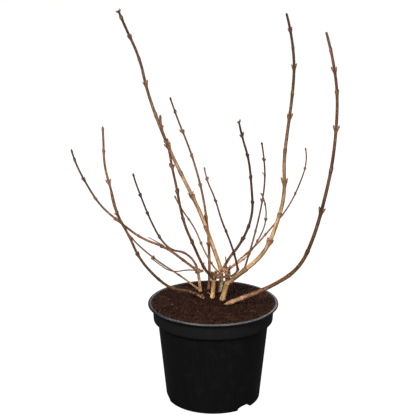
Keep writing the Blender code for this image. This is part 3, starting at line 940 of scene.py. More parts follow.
# %% List the limbs
STRAW, PALE, BROWN, DARK = "straw_bark", "pale_bark", "brown_bark", "dark_bark"
LIMBS = [
    Limb("old_stem_left", STRAW, (-19, 49), 180, 33, (4, 10), (2.3, 2.2), knuckle=1.5, knot=1.0),
    Limb("old_stem_middle", STRAW, (-1, 22), 60, 31, (12, 6), (3.0, 2.9), knuckle=1.5, knot=1.0,
         tone=(-0.08, -0.1)),
    Limb("old_stem_right", STRAW, (14, 14), 40, 44, (20, 20, -11), (3.9, 3.6), knuckle=1.25,
         knot=0.45, tone=(-0.35, -0.45)),
    Limb("bough_tall_left", PALE, (10, 47), 166, 447,
         (-14, 20, 20, 27, 27, 23, 20, 12, 26, 23), (3.3, 1.75),
         joints=(104, 156, 194, 238, 287, 335, 372, 406, 434), spurs=((1, 0, 7), (1, 180, 7)),
         bleached=(28, 1), tip="pair", flare=-0.3, tone=(0.3, -0.15, -0.15, -0.3, -0.65)),
    Limb("bough_inner_back", BROWN, (-6, 60), 128, 306, (-3, 3, 14, 27, 37, 30), (2.2, 1.25),
         joints=(71, 112, 161, 207, 247, 280), tone=(0.1, 0.4, -0.1, -0.6)),
    Limb("bough_arch_right", BROWN, (17, -7), -22, 471,
         (64, 62, 53, 22, 14, 11, 5, 0, -11, -18), (3.05, 1.8),
         joints=(14, 31, 71, 114, 161, 224, 283, 341, 389, 420, 447), split=True, bare=118,
         bleached=(70, 0.22), tip="blunt", flare=-0.62,
         tone=(0.6, -0.3, -0.57, -0.5, -0.25, -0.22, -0.25)),
    Limb("bough_front_left", BROWN, (-15, 21), 205, 333,
         (51, 76, 47, 37, 22, 28, 12, 15, 0, 2), (2.15, 1.5),
         joints=(25, 53, 83, 136, 191, 253, 297), bare=60, split=True, flare=0.8,
         tone=(-0.6, -0.4, -0.05, 0.6)),
    Limb("shoot_low_left", STRAW, (-22, 58), 178, 216, (50, 57, 47, 26, 1), (1.45, 1.15),
         joints=(38, 84, 128, 172), tone=(-0.35, -0.7, -0.5, -0.1)),
    Limb("bough_far_left", BROWN, ("old_stem_left", 33), 164, 276,
         (57, 56, 76, 56, 54, 34, 28, 14), (2.05, 1.38), joints=(28, 66, 105, 148, 192, 226, 258),
         tone=(-0.3, 0.2, -0.1, -0.5)),
    Limb("shoot_back_left", DARK, ("old_stem_left", 33), 140, 200,
         (15, 63, 98, 60, 38, 33, 28, 28, 19), (1.75, 1.35), joints=(39, 92, 133, 163),
         tone=(0, -0.2, -0.5, -0.6)),
    Limb("twig_left", DARK, ("old_stem_left", 33), 198, 81, (73, 96, 51, 48), (1.05, 0.75),
         joints=(40,)),
    Limb("cut_stub_left", STRAW, ("old_stem_left", 32), -10, 6, (85, 75), (1.9, 1.9),
         knuckle=1.15, knot=1.0),
    Limb("cut_stub_middle", STRAW, ("old_stem_middle", 30), 20, 9, (40, 10), (1.6, 1.5),
         knuckle=1.15),
    Limb("bough_front_middle", DARK, ("old_stem_middle", 31), 225, 283,
         (60, 31, 27, 28, 17, 12, 16, 11, 28, -2), (2.15, 1.55),
         joints=(31, 80, 122, 165, 203, 241, 265), spurs=((0, 180, 6), (5, 0, 6)),
         tone=(-0.1, 0, 0.3, 0.9)),
    Limb("cross_stub", BROWN, ("old_stem_middle", 31), -36, 49, (69, 85, 62, 26), (1.8, 1.6),
         joints=(24,), knuckle=1.35),
    Limb("shoot_front", DARK, ("cross_stub", 49), 222, 177, (13, 22, 27, 19, 29, 11),
         (1.65, 1.0), joints=(28, 68, 119, 157), tone=(-0.55, -0.3, 0.35, 0.95)),
    Limb("bough_middle", DARK, ("cross_stub", 11), 46, 260, (30, 58, 33, -6, -8, -24, -15),
         (2.2, 1.52), joints=(69, 90, 128, 167, 202, 236), tip="pair",
         tone=(-0.1, -0.35, -0.25, -0.25)),
    Limb("cut_stub_right", STRAW, ("old_stem_right", 38), 215, 11, (55, 25), (1.8, 1.7),
         knuckle=1.15, knot=0.45),
    Limb("bough_tall_right", PALE, ("old_stem_right", 24), 2, 426,
         (52, 50, 21, 14, -4, 6, 7, 3, -8, -16), (3.4, 1.7),
         joints=(36, 92, 135, 185, 231, 280, 313, 351, 378, 403), spurs=((3, 180, 8),),
         split=True, tip="blunt", tone=(-0.05, 0, -0.35, -0.6)),
    Limb("shoot_right", BROWN, ("old_stem_right", 44), 40, 243, (60, 66, 55, 55, 36, 25, -18),
         (1.5, 1.05), joints=(43, 86, 128, 168, 209), tone=(0.7, 0.2, -0.1, 0)),
    Limb("shoot_right_short", STRAW, ("old_stem_right", 44), 58, 184,
         (81, 87, 64, 51, -11, -47), (1.3, 1.0), joints=(46, 92, 132, 158),
         tone=(0.1, 0, -0.5, -0.4)),
    Limb("twig_stub", BROWN, ("old_stem_right", 44), 190, 23, (12, 2), (0.9, 0.75)),
    Limb("shoot_middle_right", DARK, ("bough_tall_right", 32), 62, 205,
         (40, 37, 30, 18, -11, -22), (1.42, 1.18), joints=(27, 63, 111, 149, 174),
         spurs=((3, 90, 6),), tone=(-0.05, 0.05, 0.1, -0.4)),
    Limb("shoot_back", STRAW, ("bough_tall_left", 30), 105, 164, (104, 63, 31, 45, 25),
         (1.35, 1.15), joints=(40, 77, 120), turn=55, tone=(-0.5, -0.5, -0.65, -0.6)),
    Limb("twig_far_left", DARK, ("bough_far_left", 55), 150, 38, (62, 76), (0.95, 0.6),
         tone=(0.3, 0.3)),
]
limb_named = {}
for limb in LIMBS:
    if limb.from_compost():
        foot = np.array((limb.start[0] * MM, limb.start[1] * MM, FOOT_HEIGHT))
    else:
        foot = limb_named[limb.start[0]].point(limb.start[1] * MM)
    limb.place(foot)
    limb_named[limb.name] = limb
print("limbs:", len(LIMBS), "metres of wood:", round(sum(limb.length for limb in LIMBS), 2))

# %% [markdown]
# ### Bark over the centre line
#
# The skin is a row of rings, closer together round a joint: the tables say where, in radii of the
# limb, and a profile is such places with a value at each. Its radius is the limb's own, times a
# swelling at each joint that is fuller on the two sides where the buds sit, times a fine relief of
# ridges that run up the stem and is deeper on old wood. Each point also keeps its place on the
# unrolled stem, so the bark's pattern can follow the stem round its bends without a seam.

# %% Work out the rings
PLAIN_SPACING = 2.2 * MM
JOINT_PLACES = (-3.4, -2.6, -2.0, -1.5, -1.1, -0.7, -0.35, -0.05, 0.2, 0.45, 0.8, 1.3, 2.2)
KNUCKLE_PLACES = (-2.6, -2.0, -1.4, -0.9, -0.4, 0.0, 0.4, 0.8, 1.1, 1.3)
TIP_PLACES = (-6.0, -5.0, -4.2, -3.6, -3.0, -2.4, -1.8, -1.2, -0.7, -0.3, 0.0)
BUD_TIP = (1.0, 1.0, 1.08, 1.22, 1.28, 1.22, 1.08, 0.9, 0.7, 0.45, 0.2)
BLUNT_TIP = (1.0, 0.98, 0.96, 0.95, 0.94, 0.93, 0.93, 0.95, 0.92, 0.78, 0.45)
CROWD_MARGIN = 0.3 * MM         # no plain ring stands closer to the crowded ones
JOINT_PROFILE = (-3.4, -2.0, -1.1, -0.05, 0.45, 1.3), (0, 0.2, 0.6, 1, 0.25, 0)
JOINT_SWELL = 0.24
CUSHION = 0.55                  # the extra swelling under each bud
BARE_SHARES = (0.5, 0.15)       # what is left of both at a joint whose buds have fallen
KNUCKLE_PROFILE = (-2.6, -1.0, 0.5, 1.3), (0, 1, 1, 0.45)
COLLAR_SWELL = 0.45             # how much wider a side limb is where it leaves its parent
COLLAR_REACH = 2.6 * MM


def ring_places(limb):
    """Distances along a limb where its rings stand."""
    end = limb.length
    radius = limb.tip_radius
    start = -SINK if limb.from_compost() else 0.0
    last = end + (KNUCKLE_PLACES[-1] if limb.knuckle > 1 else 0) * radius
    places = set(np.round(np.linspace(start, last, max(3, round((last - start) / PLAIN_SPACING))),
                          6))
    crowded = [(joint, limb.radius(joint), JOINT_PLACES) for joint in limb.joints]
    crowded.append((end, radius, KNUCKLE_PLACES if limb.knuckle > 1 else TIP_PLACES))
    for middle, width, rows in crowded:
        low = middle + rows[0] * width - CROWD_MARGIN
        high = middle + rows[-1] * width + CROWD_MARGIN
        places = {place for place in places if not low < place < high}
        places |= {round(float(middle + row * width), 6) for row in rows}
    return np.array(sorted(place for place in places if start <= place <= last))


def bud_turn(number):
    """The angle round the limb of a joint's first bud. It turns by a quarter at each joint."""
    return 0.5 * math.pi * ((number + 1) % 2)


def swelling(limb, places, angles):
    """How much wider than plain the limb is, for every ring (rows) and side (columns)."""
    wide = np.ones((len(places), len(angles)))
    for number, joint in enumerate(limb.joints):
        step = (places - joint) / limb.radius(joint)
        funnel = np.interp(step, *JOINT_PROFILE)
        ring, under_bud = BARE_SHARES if joint < limb.bare else (1, 1)
        facing = np.cos(angles - bud_turn(number)) ** 2
        wide += funnel[:, None] * (ring * JOINT_SWELL + under_bud * CUSHION * facing[None] ** 2)
    return wide


def end_shape(limb, places):
    """The knuckle at the end of an old stem, or the narrowing of a shoot's tip."""
    step = (places - limb.length) / limb.tip_radius
    if limb.knuckle > 1:
        return 1 + (limb.knuckle - 1) * np.interp(step, *KNUCKLE_PROFILE)
    return np.interp(step, TIP_PLACES, BUD_TIP if limb.tip == "bud" else BLUNT_TIP)


# %% Skin a limb
OLD_RELIEF = 0.055
YOUNG_RELIEF = 0.03
KNUCKLE_RELIEF = 0.16
BROAD, BROAD_LENGTH = 2.2, 9 * MM      # how fast ridges change round a limb, and along it
FINE, FINE_LENGTH, FINE_SHARE = 4.5, 3.5 * MM, 0.6
PATTERN_SHIFT = np.array((0.05, 0.03, 0))   # so that no two limbs wear the same bark
THICK = 1.75 * MM               # a limb that is thicker at its foot has more sides
SIDES, THICK_SIDES = 12, 18


def relief(places, angles, seed):
    """Broad and fine ridges that run along a limb, as a share of its radius."""
    rough = np.zeros((len(places), len(angles)))
    for row, place in enumerate(places):
        for column, angle in enumerate(angles):
            x, y = math.cos(angle), math.sin(angle)
            broad = Vector((BROAD * x + seed, BROAD * y, place / BROAD_LENGTH))
            fine = Vector((FINE * x, FINE * y + seed, place / FINE_LENGTH))
            rough[row, column] = noise.noise(broad) + FINE_SHARE * noise.noise(fine)
    return rough


def limb_skin(limb, seed):
    """Points, faces and numbers of a limb's bark."""
    sides = THICK_SIDES if limb.foot_radius > THICK else SIDES
    angles = around(sides)
    places = ring_places(limb)
    radius = limb.radius(places)[:, None] * swelling(limb, places, angles)
    radius *= end_shape(limb, places)[:, None]
    if not limb.from_compost():
        radius *= 1 + COLLAR_SWELL * np.exp(-(places / COLLAR_REACH) ** 2)[:, None]
    depth = OLD_RELIEF if limb.knuckle > 1 or limb.bark == PALE else YOUNG_RELIEF
    if limb.knuckle > 1:
        lumpy = np.exp(-((places - limb.length) / (2 * limb.tip_radius)) ** 2)
        depth = depth + KNUCKLE_RELIEF * lumpy[:, None]
    radius *= 1 + depth * relief(places, angles, seed)
    outward, across = limb.buried_axes(places)[1:]
    centre = limb.point(places)
    cosine, sine = np.cos(angles), np.sin(angles)
    points = (centre[:, None] + outward[:, None] * (radius * cosine)[..., None]
              + across[:, None] * (radius * sine)[..., None]).reshape(-1, 3)
    plain = limb.radius(places)[:, None]
    unrolled = np.stack([plain * cosine, plain * sine, places[:, None] + 0 * cosine],
                        -1).reshape(-1, 3)
    unrolled += seed * PATTERN_SHIFT
    numbers = {"unrolled": unrolled.tolist()}
    for title, row in bark_marks(limb, places).items():
        numbers[title] = np.repeat(row, sides)
    return points, tube_faces(len(places), sides), numbers


# %% Mark its bark
JOINT_TINT = (-3.0, -1.0, 0.2, 1.2), (0, 1, 1, 0)
SCAR_BAND = (-0.2, 0.1, 0.5, 0.8), (0, 1, 1, 0)
OLD_RING_BAND = (-0.6, -0.2, 0.3, 0.6), (0, 1, 1, 0)
KNOT_BAND = (-2.2, -1.1), (0, 1)
OLD_RING = 0.4                  # how pale the ring is where old buds fell
OLD_TINT = 0.2                  # and what is left there of the tint and the scar
BLEACHED_EDGE = 0.4             # the share of a bleached foot over which it fades


def bark_marks(limb, places):
    """What each ring keeps for the bark's material. All but age and tone lie from 0 to 1."""
    near, scar, cut, knot = np.zeros((4, len(places)))
    for joint in limb.joints:
        step = (places - joint) / limb.radius(joint)
        fallen = joint < limb.bare
        shown = OLD_TINT if fallen else 1
        near = np.maximum(near, shown * np.interp(step, *JOINT_TINT))
        scar = np.maximum(scar, shown * np.interp(step, *SCAR_BAND))
        if fallen:
            cut = np.maximum(cut, OLD_RING * np.interp(step, *OLD_RING_BAND))
    if limb.knuckle > 1:
        cut[-1] = 1.0
        knot = limb.knot * np.interp((places - limb.length) / limb.tip_radius, *KNOT_BAND)
    fading = BLEACHED_EDGE * limb.bleached + MM
    bleached = limb.bleaching * np.clip((limb.bleached - places) / fading, 0, 1)
    return {"age": places / limb.length, "joint": near, "scar": scar, "bleached": bleached,
            "cut": cut, "knot": knot, "tone": limb.tone_at(places)}


# %% [markdown]
# ### The barks
#
# Old wood is straw coloured with brown streaks where it weathers. Shoots of the last summer are
# brown to dark red-brown, darkest at their tips. All four barks are one recipe with different
# colours: two colours along the limb, streaks along the fibres, soft patches, corky pores, dark
# specks, a warmer tint at the joints, gnarls on a knuckle, a bleached foot, pale wood where a stem
# was cut, and peat at the foot. Some stretches of a limb are darker than the next.

# %% Mix the barks
def rgb(red, green, blue):
    """A colour from screen values between 0 and 255, made linear."""
    screen = [value / 255 for value in (red, green, blue)]
    linear = [v / 12.92 if v <= 0.04045 else ((v + 0.055) / 1.055) ** 2.4 for v in screen]
    return (*linear, 1)


def bark_material(name, foot, tip, dark, pale, joint, turn_at=(0.1, 0.9), darkness=0.7,
                  pore=None, roughness=0.75):
    """A bark finish. turn_at says where the colour of the limb's foot becomes its tip's."""
    made, graph, shader = new_material(name)
    place = graph.attribute("unrolled", "Vector")
    coarse = graph.use(fibres, Place=place, Width=1.8, Length=20.0, Threshold=0.52,
                       Softness=0.06)
    mottle = graph.use(fibres, Place=place, Width=1.3, Length=3.6, Threshold=0.55, Softness=0.06)
    fine = graph.use(fibres, Place=place, Width=0.4, Length=5.0, Threshold=0.5, Softness=0.1)
    pores = graph.use(dots, Place=place, Spacing=1.7, Stretch=1.5, Size=0.3, Share=0.4)
    specks = graph.use(dots, Place=place, Spacing=2.7, Stretch=1.6, Size=0.3, Share=0.55)
    gnarls = graph.use(blotches, Place=place, Size=2.4, Threshold=0.5, Softness=0.06)
    dirt = graph.use(soil, Level=144.0, Reach=4.0, Ragged=0.5)

    age = graph.attribute("age")
    wander = graph.maths("MULTIPLY", graph.maths("SUBTRACT", graph.noise(place, 60.0, 2.0), 0.5),
                         0.4)
    colour = graph.mix(graph.fade(graph.maths("ADD", age, wander), *turn_at), foot, tip)
    for other, mask, share in (
            (dark, coarse["Mask"], darkness),
            (pale, mottle["Mask"], graph.span(age, 0.6, 0.24)),
            (dark, fine["Mask"], 0.35),
            (pore or pale, pores["Mask"], 0.7),
            (dark, specks["Mask"], 0.75),
            (joint, graph.attribute("joint"), 0.6),
            (SCAR_DARK, graph.attribute("scar"), 0.75)):
        colour = graph.lay(colour, other, mask, share)
    knot = graph.attribute("knot")
    gnarled = graph.mix(graph.fade(knot, 0.5, 1.0),
                        graph.mix(gnarls["Mask"], KNOT_PALE, KNOT_DARK),
                        graph.mix(gnarls["Mask"], joint, KNOT_DARK))
    colour = graph.mix(graph.fade(knot, 0.0, 0.4), colour, gnarled)
    grey = graph.maths("MULTIPLY", graph.attribute("bleached"), 0.85)
    for mask, share in ((coarse["Mask"], 0.75), (pores["Mask"], 0.8), (fine["Mask"], 0.4)):
        kept = graph.inverse(graph.maths("MULTIPLY", mask, share))
        grey = graph.maths("MULTIPLY", grey, kept)
    colour = graph.mix(grey, colour, BLEACHED)
    colour = graph.lay(colour, FRESH_CUT, graph.attribute("cut"), 0.8)
    colour = graph.lay(colour, PEAT_BROWN, dirt["Mask"], 0.75)
    stretches = graph.span(graph.noise(place, 26.0, 1.0), 0.68, 1.32, 0.3, 0.7)
    strength = graph.maths("MULTIPLY", stretches,
                           graph.maths("ADD", graph.attribute("tone"), 1.0))
    height = graph.maths("ADD", graph.maths("MULTIPLY", fine["Height"], 0.5),
                         graph.maths("MULTIPLY", mottle["Height"], 0.5))
    height = graph.maths("ADD", height, graph.maths("MULTIPLY", pores["Mask"], 0.25))
    dress(graph, shader, graph.shade(colour, strength),
          graph.span(coarse["Mask"], roughness, roughness + 0.15), 0.2,
          graph.bump(height, 0.3 * MM, 0.8))
    return made


SCAR_DARK = rgb(62, 38, 28)
BLEACHED = rgb(206, 184, 150)
FRESH_CUT = rgb(176, 140, 104)
KNOT_PALE = rgb(196, 150, 114)
KNOT_DARK = rgb(70, 44, 26)
barks = {
    STRAW: bark_material(STRAW, foot=rgb(210, 168, 114), tip=rgb(158, 112, 76),
                         dark=rgb(112, 70, 38), pale=rgb(228, 190, 140),
                         joint=rgb(116, 74, 40), darkness=0.85, pore=rgb(106, 64, 36)),
    PALE: bark_material(PALE, foot=rgb(180, 145, 104), tip=rgb(78, 48, 34),
                        dark=rgb(74, 45, 28), pale=rgb(206, 164, 114),
                        joint=rgb(124, 84, 58), turn_at=(0.25, 0.8), pore=rgb(112, 72, 44)),
    BROWN: bark_material(BROWN, foot=rgb(112, 76, 49), tip=rgb(99, 63, 48),
                         dark=rgb(58, 34, 20), pale=rgb(178, 126, 80),
                         joint=rgb(112, 70, 46)),
    DARK: bark_material(DARK, foot=rgb(92, 58, 36), tip=rgb(80, 49, 39),
                        dark=rgb(46, 26, 17), pale=rgb(158, 110, 70),
                        joint=rgb(92, 56, 40), roughness=0.6),
}
print("barks:", sorted(barks))

# %% Put the bark on
BARK_SHARP_ANGLE = 60
bark_faces = 0
for number, limb in enumerate(LIMBS):
    shell = Shell()
    points, faces, numbers = limb_skin(limb, number)
    shell.add(points, faces, **numbers)
    item = add_piece(f"{limb.name}_bark", shell, barks[limb.bark], limb.nodes)
    item.data.set_sharp_from_angle(angle=math.radians(BARK_SHARP_ANGLE))
    bark_faces += len(faces)
print("bark faces:", bark_faces)

# %% [markdown]
# ## Buds and spurs
#
# Weigela's buds sit in pairs, pointed and leaning out a little, in brown scales with pale edges.
# One bud is a pointed egg of rings, a little stepped where a scale ends, and darker on dark bark.
# A spur is a side shoot that stayed a few millimetres long and ends in a small pair of buds.

# %% Shape a bud
BUD_RINGS = ((0.0, 0.62), (0.14, 0.92), (0.3, 1.0), (0.33, 0.93), (0.5, 0.88), (0.66, 0.72),
             (0.7, 0.62), (0.84, 0.42), (0.94, 0.2), (1.0, 0.05))
BUD_SIDES = 10
BUD_FLATNESS = 0.78             # how thick it is for its width
BUD_BEND = 0.18                 # how far its tip bends in towards the stem, in its lengths
BUD_WIDTH = 0.33                # in its lengths
BUD_LENGTH = 2.2 * MM           # the length of a bud on a limb without thickness
BUD_GROWTH = 1.1                # what each radius of the limb adds to it
BUD_LENGTHS = (0.85, 1.2)       # the two buds of a pair differ so much in length
BUD_TILTS = (0.8, 1.25)         # and so much in lean
BUD_SEAT = (0.9, 0.5)           # its foot lies so far out and back, in radii of the limb
TONE_ON_BUDS = 0.7              # how much of its limb's darker tone a bud takes on
BUD_SHADE = {STRAW: 0.2, PALE: 0.12, BROWN: 0.2, DARK: 0.42}
chance = random.Random(23)


def bud(base, direction, outward, length, width, tone=0.0):
    """A pointed egg. outward is the way its flat side faces away from the stem."""
    direction = Vector(direction).normalized()
    side = direction.cross(Vector(outward)).normalized()
    depth = side.cross(direction)
    points = []
    for share, wide in BUD_RINGS:
        centre = (Vector(base) + direction * (length * share)
                  - depth * (BUD_BEND * length * share ** 2))
        for angle in around(BUD_SIDES):
            points.append(centre + side * (math.cos(angle) * width * wide)
                          + depth * (math.sin(angle) * width * wide * BUD_FLATNESS))
    numbers = {"along": np.repeat([share for share, wide in BUD_RINGS], BUD_SIDES),
               "lot": np.full(len(points), chance.random()),
               "tone": np.full(len(points), tone)}
    return points, tube_faces(len(BUD_RINGS), BUD_SIDES), numbers


def bud_pair(shell, limb, distance, turn, scale, lean):
    """Two buds that face each other across a limb."""
    along, outward, across = (Vector(axis) for axis in limb.axes(distance))
    radius = float(limb.radius(distance))
    out, back = BUD_SEAT
    tone = TONE_ON_BUDS * min(0, limb.tone_at(distance)) - BUD_SHADE[limb.bark]
    for half_turn in (0, math.pi):
        side = outward * math.cos(turn + half_turn) + across * math.sin(turn + half_turn)
        tilt = math.radians(lean * chance.uniform(*BUD_TILTS))
        direction = along * math.cos(tilt) + side * math.sin(tilt)
        base = Vector(limb.point(distance)) + side * (out * radius) - along * (back * radius)
        length = (BUD_LENGTH + BUD_GROWTH * radius) * scale * chance.uniform(*BUD_LENGTHS)
        points, faces, numbers = bud(base, direction, side, length, BUD_WIDTH * length, tone)
        shell.add(points, faces, **numbers)


# %% [markdown]
# ### Bud scales
#
# A scale is smoother than bark and a little shiny. Its colour runs from light brown at the bud's
# foot to red-brown at its tip, with faint pale stripes and a pale edge where one scale ends over
# the next. A number drawn for each bud makes some darker.

# %% Mix the bud scales
SCALE_FOOT = rgb(160, 108, 72)
SCALE_TIP = rgb(106, 64, 42)
SCALE_STRIPE = rgb(190, 150, 118)
SCALE_EDGE = rgb(200, 164, 130)
SCALE_DUSK = rgb(70, 42, 34)

bud_scale, graph, shader = new_material("bud_scale")
spot = graph.spot()
along = graph.attribute("along")
stripes = graph.use(blotches, Place=spot, Size=0.9, Threshold=0.5, Softness=0.15)
edge = graph.maths("MULTIPLY", graph.fade(along, 0.28, 0.31),
                   graph.inverse(graph.fade(along, 0.34, 0.42)))
colour = graph.mix(graph.fade(along, 0.05, 0.75), SCALE_FOOT, SCALE_TIP)
colour = graph.lay(colour, SCALE_STRIPE, stripes["Mask"], 0.35)
colour = graph.lay(colour, SCALE_EDGE, edge, 0.6)
colour = graph.lay(colour, SCALE_DUSK, graph.attribute("lot"), 0.35)
colour = graph.shade(colour, graph.maths("ADD", graph.attribute("tone"), 1.0))
dress(graph, shader, colour, graph.span(stripes["Mask"], 0.5, 0.75), 0.35,
      graph.bump(graph.noise(spot, 2500.0, 3.0), 0.1 * MM, 0.6))

# %% Set the buds on
BUD_AT_FOOT = 0.6               # buds low on a limb stayed small
BUD_FULL_FROM = 200 * MM
BUD_SCALES = (0.85, 1.5)        # pairs differ so much in size
BUD_LEAN = 34
BUD_ABOVE_JOINT = 0.2           # in radii of the limb
TIP_BUDS = {                    # tip: (radii below the end, bearing, scale, lean)
    "pair": (1.2, 0, 1.2, 38),
    "bud": (3.2, 90, 0.7, 14),
}
buds = Shell()
for limb in LIMBS:
    for number, joint in enumerate(limb.joints):
        if joint < limb.bare:
            continue
        radius = float(limb.radius(joint))
        grown = BUD_AT_FOOT + (1 - BUD_AT_FOOT) * min(1, joint / BUD_FULL_FROM)
        bud_pair(buds, limb, joint + BUD_ABOVE_JOINT * radius, bud_turn(number),
                 grown * chance.uniform(*BUD_SCALES), BUD_LEAN)
    if limb.knuckle == 1 and limb.tip in TIP_BUDS:
        below, turn, scale, lean = TIP_BUDS[limb.tip]
        bud_pair(buds, limb, limb.length - below * limb.tip_radius, math.radians(turn), scale,
                 lean)
add_piece("buds", buds, bud_scale)
print("bud faces:", len(buds.faces))

# %% Grow the spurs
SPUR_LEAN = 42
SPUR_RADIUS = 0.85 * MM
SPUR_RINGS = ((0.0, 1.5), (0.2, 1.15), (0.4, 0.9), (0.6, 0.85), (0.72, 1.15), (0.8, 1.2),
              (0.9, 0.8), (1.0, 0.3))
SPUR_LUMPS = (0.12, 3, 9)       # their depth, and how fast they change round and along it
SPUR_BUD_AT = 0.78              # as a share of the spur's length
SPUR_BUD = (2.6 * MM, 0.62 * MM)   # length and width
STUB_SIDES = 10


def stub(start, direction, first, length, radius, rings, lumps, seed):
    """The skin of a short growth. first is a direction square to its own."""
    second = direction.cross(first)
    depth, round_it, along_it = lumps
    points = []
    for share, wide in rings:
        for angle in around(STUB_SIDES):
            cosine, sine = math.cos(angle), math.sin(angle)
            ragged = 1 + depth * noise.noise(Vector((round_it * cosine, round_it * sine,
                                                     along_it * share + seed)))
            points.append(start + direction * (length * share)
                          + (first * cosine + second * sine) * (radius * wide * ragged))
    return points, tube_faces(len(rings), STUB_SIDES)


spurs = Shell()
for limb in LIMBS:
    for joint, turn, length in limb.spurs:
        distance = limb.joints[joint]
        along, outward, across = (Vector(axis) for axis in limb.axes(distance))
        turn, lean = math.radians(turn), math.radians(SPUR_LEAN)
        side = outward * math.cos(turn) + across * math.sin(turn)
        direction = along * math.cos(lean) + side * math.sin(lean)
        first = direction.cross(along).normalized()
        start = Vector(limb.point(distance))
        points, faces = stub(start, direction, first, length * MM, SPUR_RADIUS, SPUR_RINGS,
                             SPUR_LUMPS, joint)
        share = np.repeat([share for share, wide in SPUR_RINGS], STUB_SIDES)
        spurs.add(points, faces, along=0.6 * share, lot=np.full(len(points), 0.4),
                  tone=np.zeros(len(points)))
        tip = start + direction * (SPUR_BUD_AT * length * MM)
        for out in (first, -first):
            points, faces, numbers = bud(tip, direction + out * 0.6, out, *SPUR_BUD)
            spurs.add(points, faces, **numbers)
add_piece("spurs", spurs, bud_scale)
print("spur faces:", len(spurs.faces))

# %% [markdown]
# ### Knobs and snags
#
# Where shoots were cut away year after year, sleeping buds and callus crowd into knobs on the
# knuckles, and a few cut twigs stand out between them. A knob is a ball pushed about by noise, set
# into the bark on the side it faces. A snag is a short tube with a pale cut end.

# %% Shape a knob and a snag
KNOB_DEPTH = 0.35               # how far a knob's middle lies inside the bark, in its radii
KNOB_LUMPS = ((0.45, 1.6), (0.22, 4))   # their depth, and how many fit round a knob
SNAG_RINGS = ((0.0, 1.35), (0.25, 1.05), (0.6, 1.0), (0.9, 1.04), (1.0, 0.9))
SNAG_LUMPS = (0.15, 2, 5)
KNOBS = {                       # limb: (millimetres up it, compass bearing, radius, paleness and painted highlight)
    "old_stem_left": ((31, 180, 2.0, 0.4), (33, -80, 2.0, 0.7), (35, -20, 2.0, 0.4),
                      (36, 90, 1.6, 0.4), (37, -140, 1.8, 0.7), (29, -110, 1.2, 0.5),
                      (39, 170, 1.5, 0.3)),
    "old_stem_middle": ((30, 180, 2.3, 0.2), (32, -90, 2.4, 0.3), (34, -150, 2.3, 0.1),
                        (35, -50, 2.2, 0.4), (28, -40, 1.5, 0.3), (35, 90, 2.0, 0.2),
                        (38, -100, 1.9, 0.5), (37, 160, 1.8, 0.2)),
    "old_stem_right": ((42, -150, 1.9, 0.8), (46, -90, 1.7, 1.0), (40, -60, 1.5, 0.6),
                       (47, 30, 1.7, 0.7), (36, 180, 1.4, 0.7), (33, -90, 1.1, 0.5),
                       (44, -40, 1.4, 0.9), (48, -150, 1.4, 1.0)),
    "cross_stub": ((2, -90, 2.8, 0.2), (6, 90, 2.9, 0.2), (9, -100, 2.6, 0.4),
                   (13, 80, 2.6, 0.1), (16, -80, 2.1, 0.3), (20, 90, 2.0, 0.2),
                   (25, -90, 1.6, 0.4), (32, 90, 1.3, 0.3)),
    "bough_middle": ((2, 180, 2.5, 0.1), (5, 0, 2.2, 0.2), (5, -90, 2.0, 0.3),
                     (9, 180, 1.7, 0.2), (13, -60, 1.3, 0.2)),
    "bough_tall_left": ((30, 180, 1.4, 0.3), (27, -80, 1.0, 0.4)),
    "bough_front_middle": ((3, -90, 1.2, 0.2), (6, 180, 1.0, 0.3)),
    "bough_front_left": ((0, -90, 2.5, 0.7), (2, 60, 2.4, 0.4), (5, -80, 2.1, 0.5),
                         (8, 90, 1.9, 0.4), (10, -90, 1.7, 0.7), (15, 70, 1.6, 0.4),
                         (19, -80, 1.4, 0.5), (25, 90, 1.3, 0.4)),
    "bough_far_left": ((2, -90, 1.7, 0.3), (6, 90, 1.5, 0.2), (9, -60, 1.2, 0.4)),
    "shoot_back_left": ((2, -90, 1.5, 0.2), (6, 60, 1.3, 0.3)),
    "bough_tall_right": ((4, -90, 1.2, 0.4), (8, -20, 1.0, 0.5)),
    "shoot_front": ((0.5, -60, 1.7, 0.0), (2, 120, 1.4, 0.0)),
}
SNAGS = (                       # limb, millimetres up it, bearing, lean, length, radius
    ("old_stem_left", 35, 160, 8, 7, 0.6), ("old_stem_middle", 33, 200, 30, 6, 0.9),
    ("old_stem_middle", 34, -70, 25, 6, 1.0), ("cross_stub", 6, 120, 20, 8, 0.9),
    ("cross_stub", 13, -60, 30, 6, 0.8), ("old_stem_right", 45, 150, 30, 6, 1.0),
    ("old_stem_right", 43, -120, 55, 5, 1.1), ("old_stem_right", 46, -30, 35, 6, 0.9),
    ("bough_tall_left", 29, 200, 45, 5, 0.8),
)


def faced(bearing, along):
    """A level bearing in degrees, as a unit vector square to a limb."""
    side = Vector((math.cos(math.radians(bearing)), math.sin(math.radians(bearing)), 0))
    return (side - along * side.dot(along)).normalized()


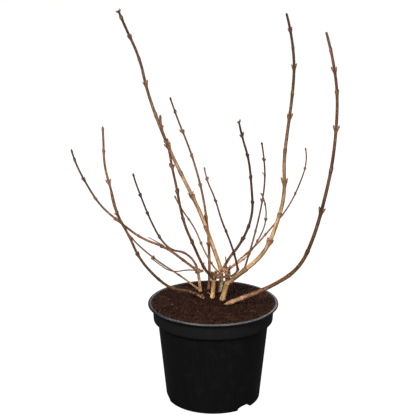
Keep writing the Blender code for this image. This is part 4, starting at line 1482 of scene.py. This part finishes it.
# %% Set them on
ball_points, ball_faces = round_ball(3)
knobs = Shell()
for name, rows in KNOBS.items():
    limb = limb_named[name]
    for distance, bearing, radius, paleness_and_highlight in rows:
        along = Vector(limb.axes(distance * MM)[0])
        side = faced(bearing, along)
        swell = limb.knuckle if distance * MM > limb.length - limb.tip_radius else 1.0
        out = swell * float(limb.radius(distance * MM)) - KNOB_DEPTH * radius * MM
        centre = Vector(limb.point(distance * MM)) + side * out
        seed = Vector((distance, bearing, radius))
        points = []
        for point in ball_points:
            lumps = [depth * noise.noise(often * point + seed) for depth, often in KNOB_LUMPS]
            points.append(centre + point * radius * MM * (1 + lumps[0] + lumps[1]))
        knobs.add(points, ball_faces, lot=[paleness_and_highlight] * len(points), cut=[0.0] * len(points))
for name, distance, bearing, lean, length, radius in SNAGS:
    limb = limb_named[name]
    start = Vector(limb.point(distance * MM))
    turn, tilt = math.radians(bearing), math.radians(lean)
    direction = Vector((math.cos(turn) * math.sin(tilt), math.sin(turn) * math.sin(tilt),
                        math.cos(tilt)))
    first = direction.cross(Vector((1, 0.3, 0))).normalized()
    reach = float(limb.radius(distance * MM)) + length * MM
    points, faces = stub(start, direction, first, reach, radius * MM, SNAG_RINGS, SNAG_LUMPS,
                         distance)
    bark_points = len(points) - STUB_SIDES
    knobs.add(points, faces, lot=[0.4] * len(points),
              cut=[0.0] * bark_points + [1.0] * STUB_SIDES)

# %% [markdown]
# ### Their bark
#
# Callus is warm brown and paler on some knobs. Knobs that face the front are painted paler still,
# a painted highlight. Dark gnarls and finer cracks run over it, and a snag's cut end shows fresh
# wood.

# %% Mix their bark
KNOB_BROWN = rgb(116, 74, 42)
KNOB_DUSK = rgb(46, 28, 18)

knob_bark, graph, shader = new_material("knob_bark")
spot = graph.spot()
gnarls = graph.use(blotches, Place=spot, Size=1.5, Threshold=0.48, Softness=0.08)
cracks = graph.use(blotches, Place=spot, Size=0.8, Threshold=0.55, Softness=0.06)
# lot holds each knob's paleness, partly its own colour and partly a painted highlight on knobs
# facing the front.
colour = graph.mix(graph.attribute("lot"), KNOB_BROWN, KNOT_PALE)
colour = graph.lay(colour, KNOT_DARK, gnarls["Mask"], 0.8)
colour = graph.lay(colour, KNOB_DUSK, cracks["Mask"], 0.5)
colour = graph.lay(colour, FRESH_CUT, graph.attribute("cut"), 0.85)
dress(graph, shader, colour, graph.span(gnarls["Mask"], 0.7, 0.9), 0.2,
      graph.bump(graph.noise(spot, 1800.0, 4.0), 0.3 * MM, 0.8))
add_piece("knobs", knobs, knob_bark)
print("knob faces:", len(knobs.faces))

# %% [markdown]
# ## Finish
#
# The dressed plant's box is measured over every shown piece but the floor, and printed in
# millimetres.

# %% Measure the dressed plant's box
low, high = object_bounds()
print("visual box in mm:", [round(v / MM) for v in high - low])
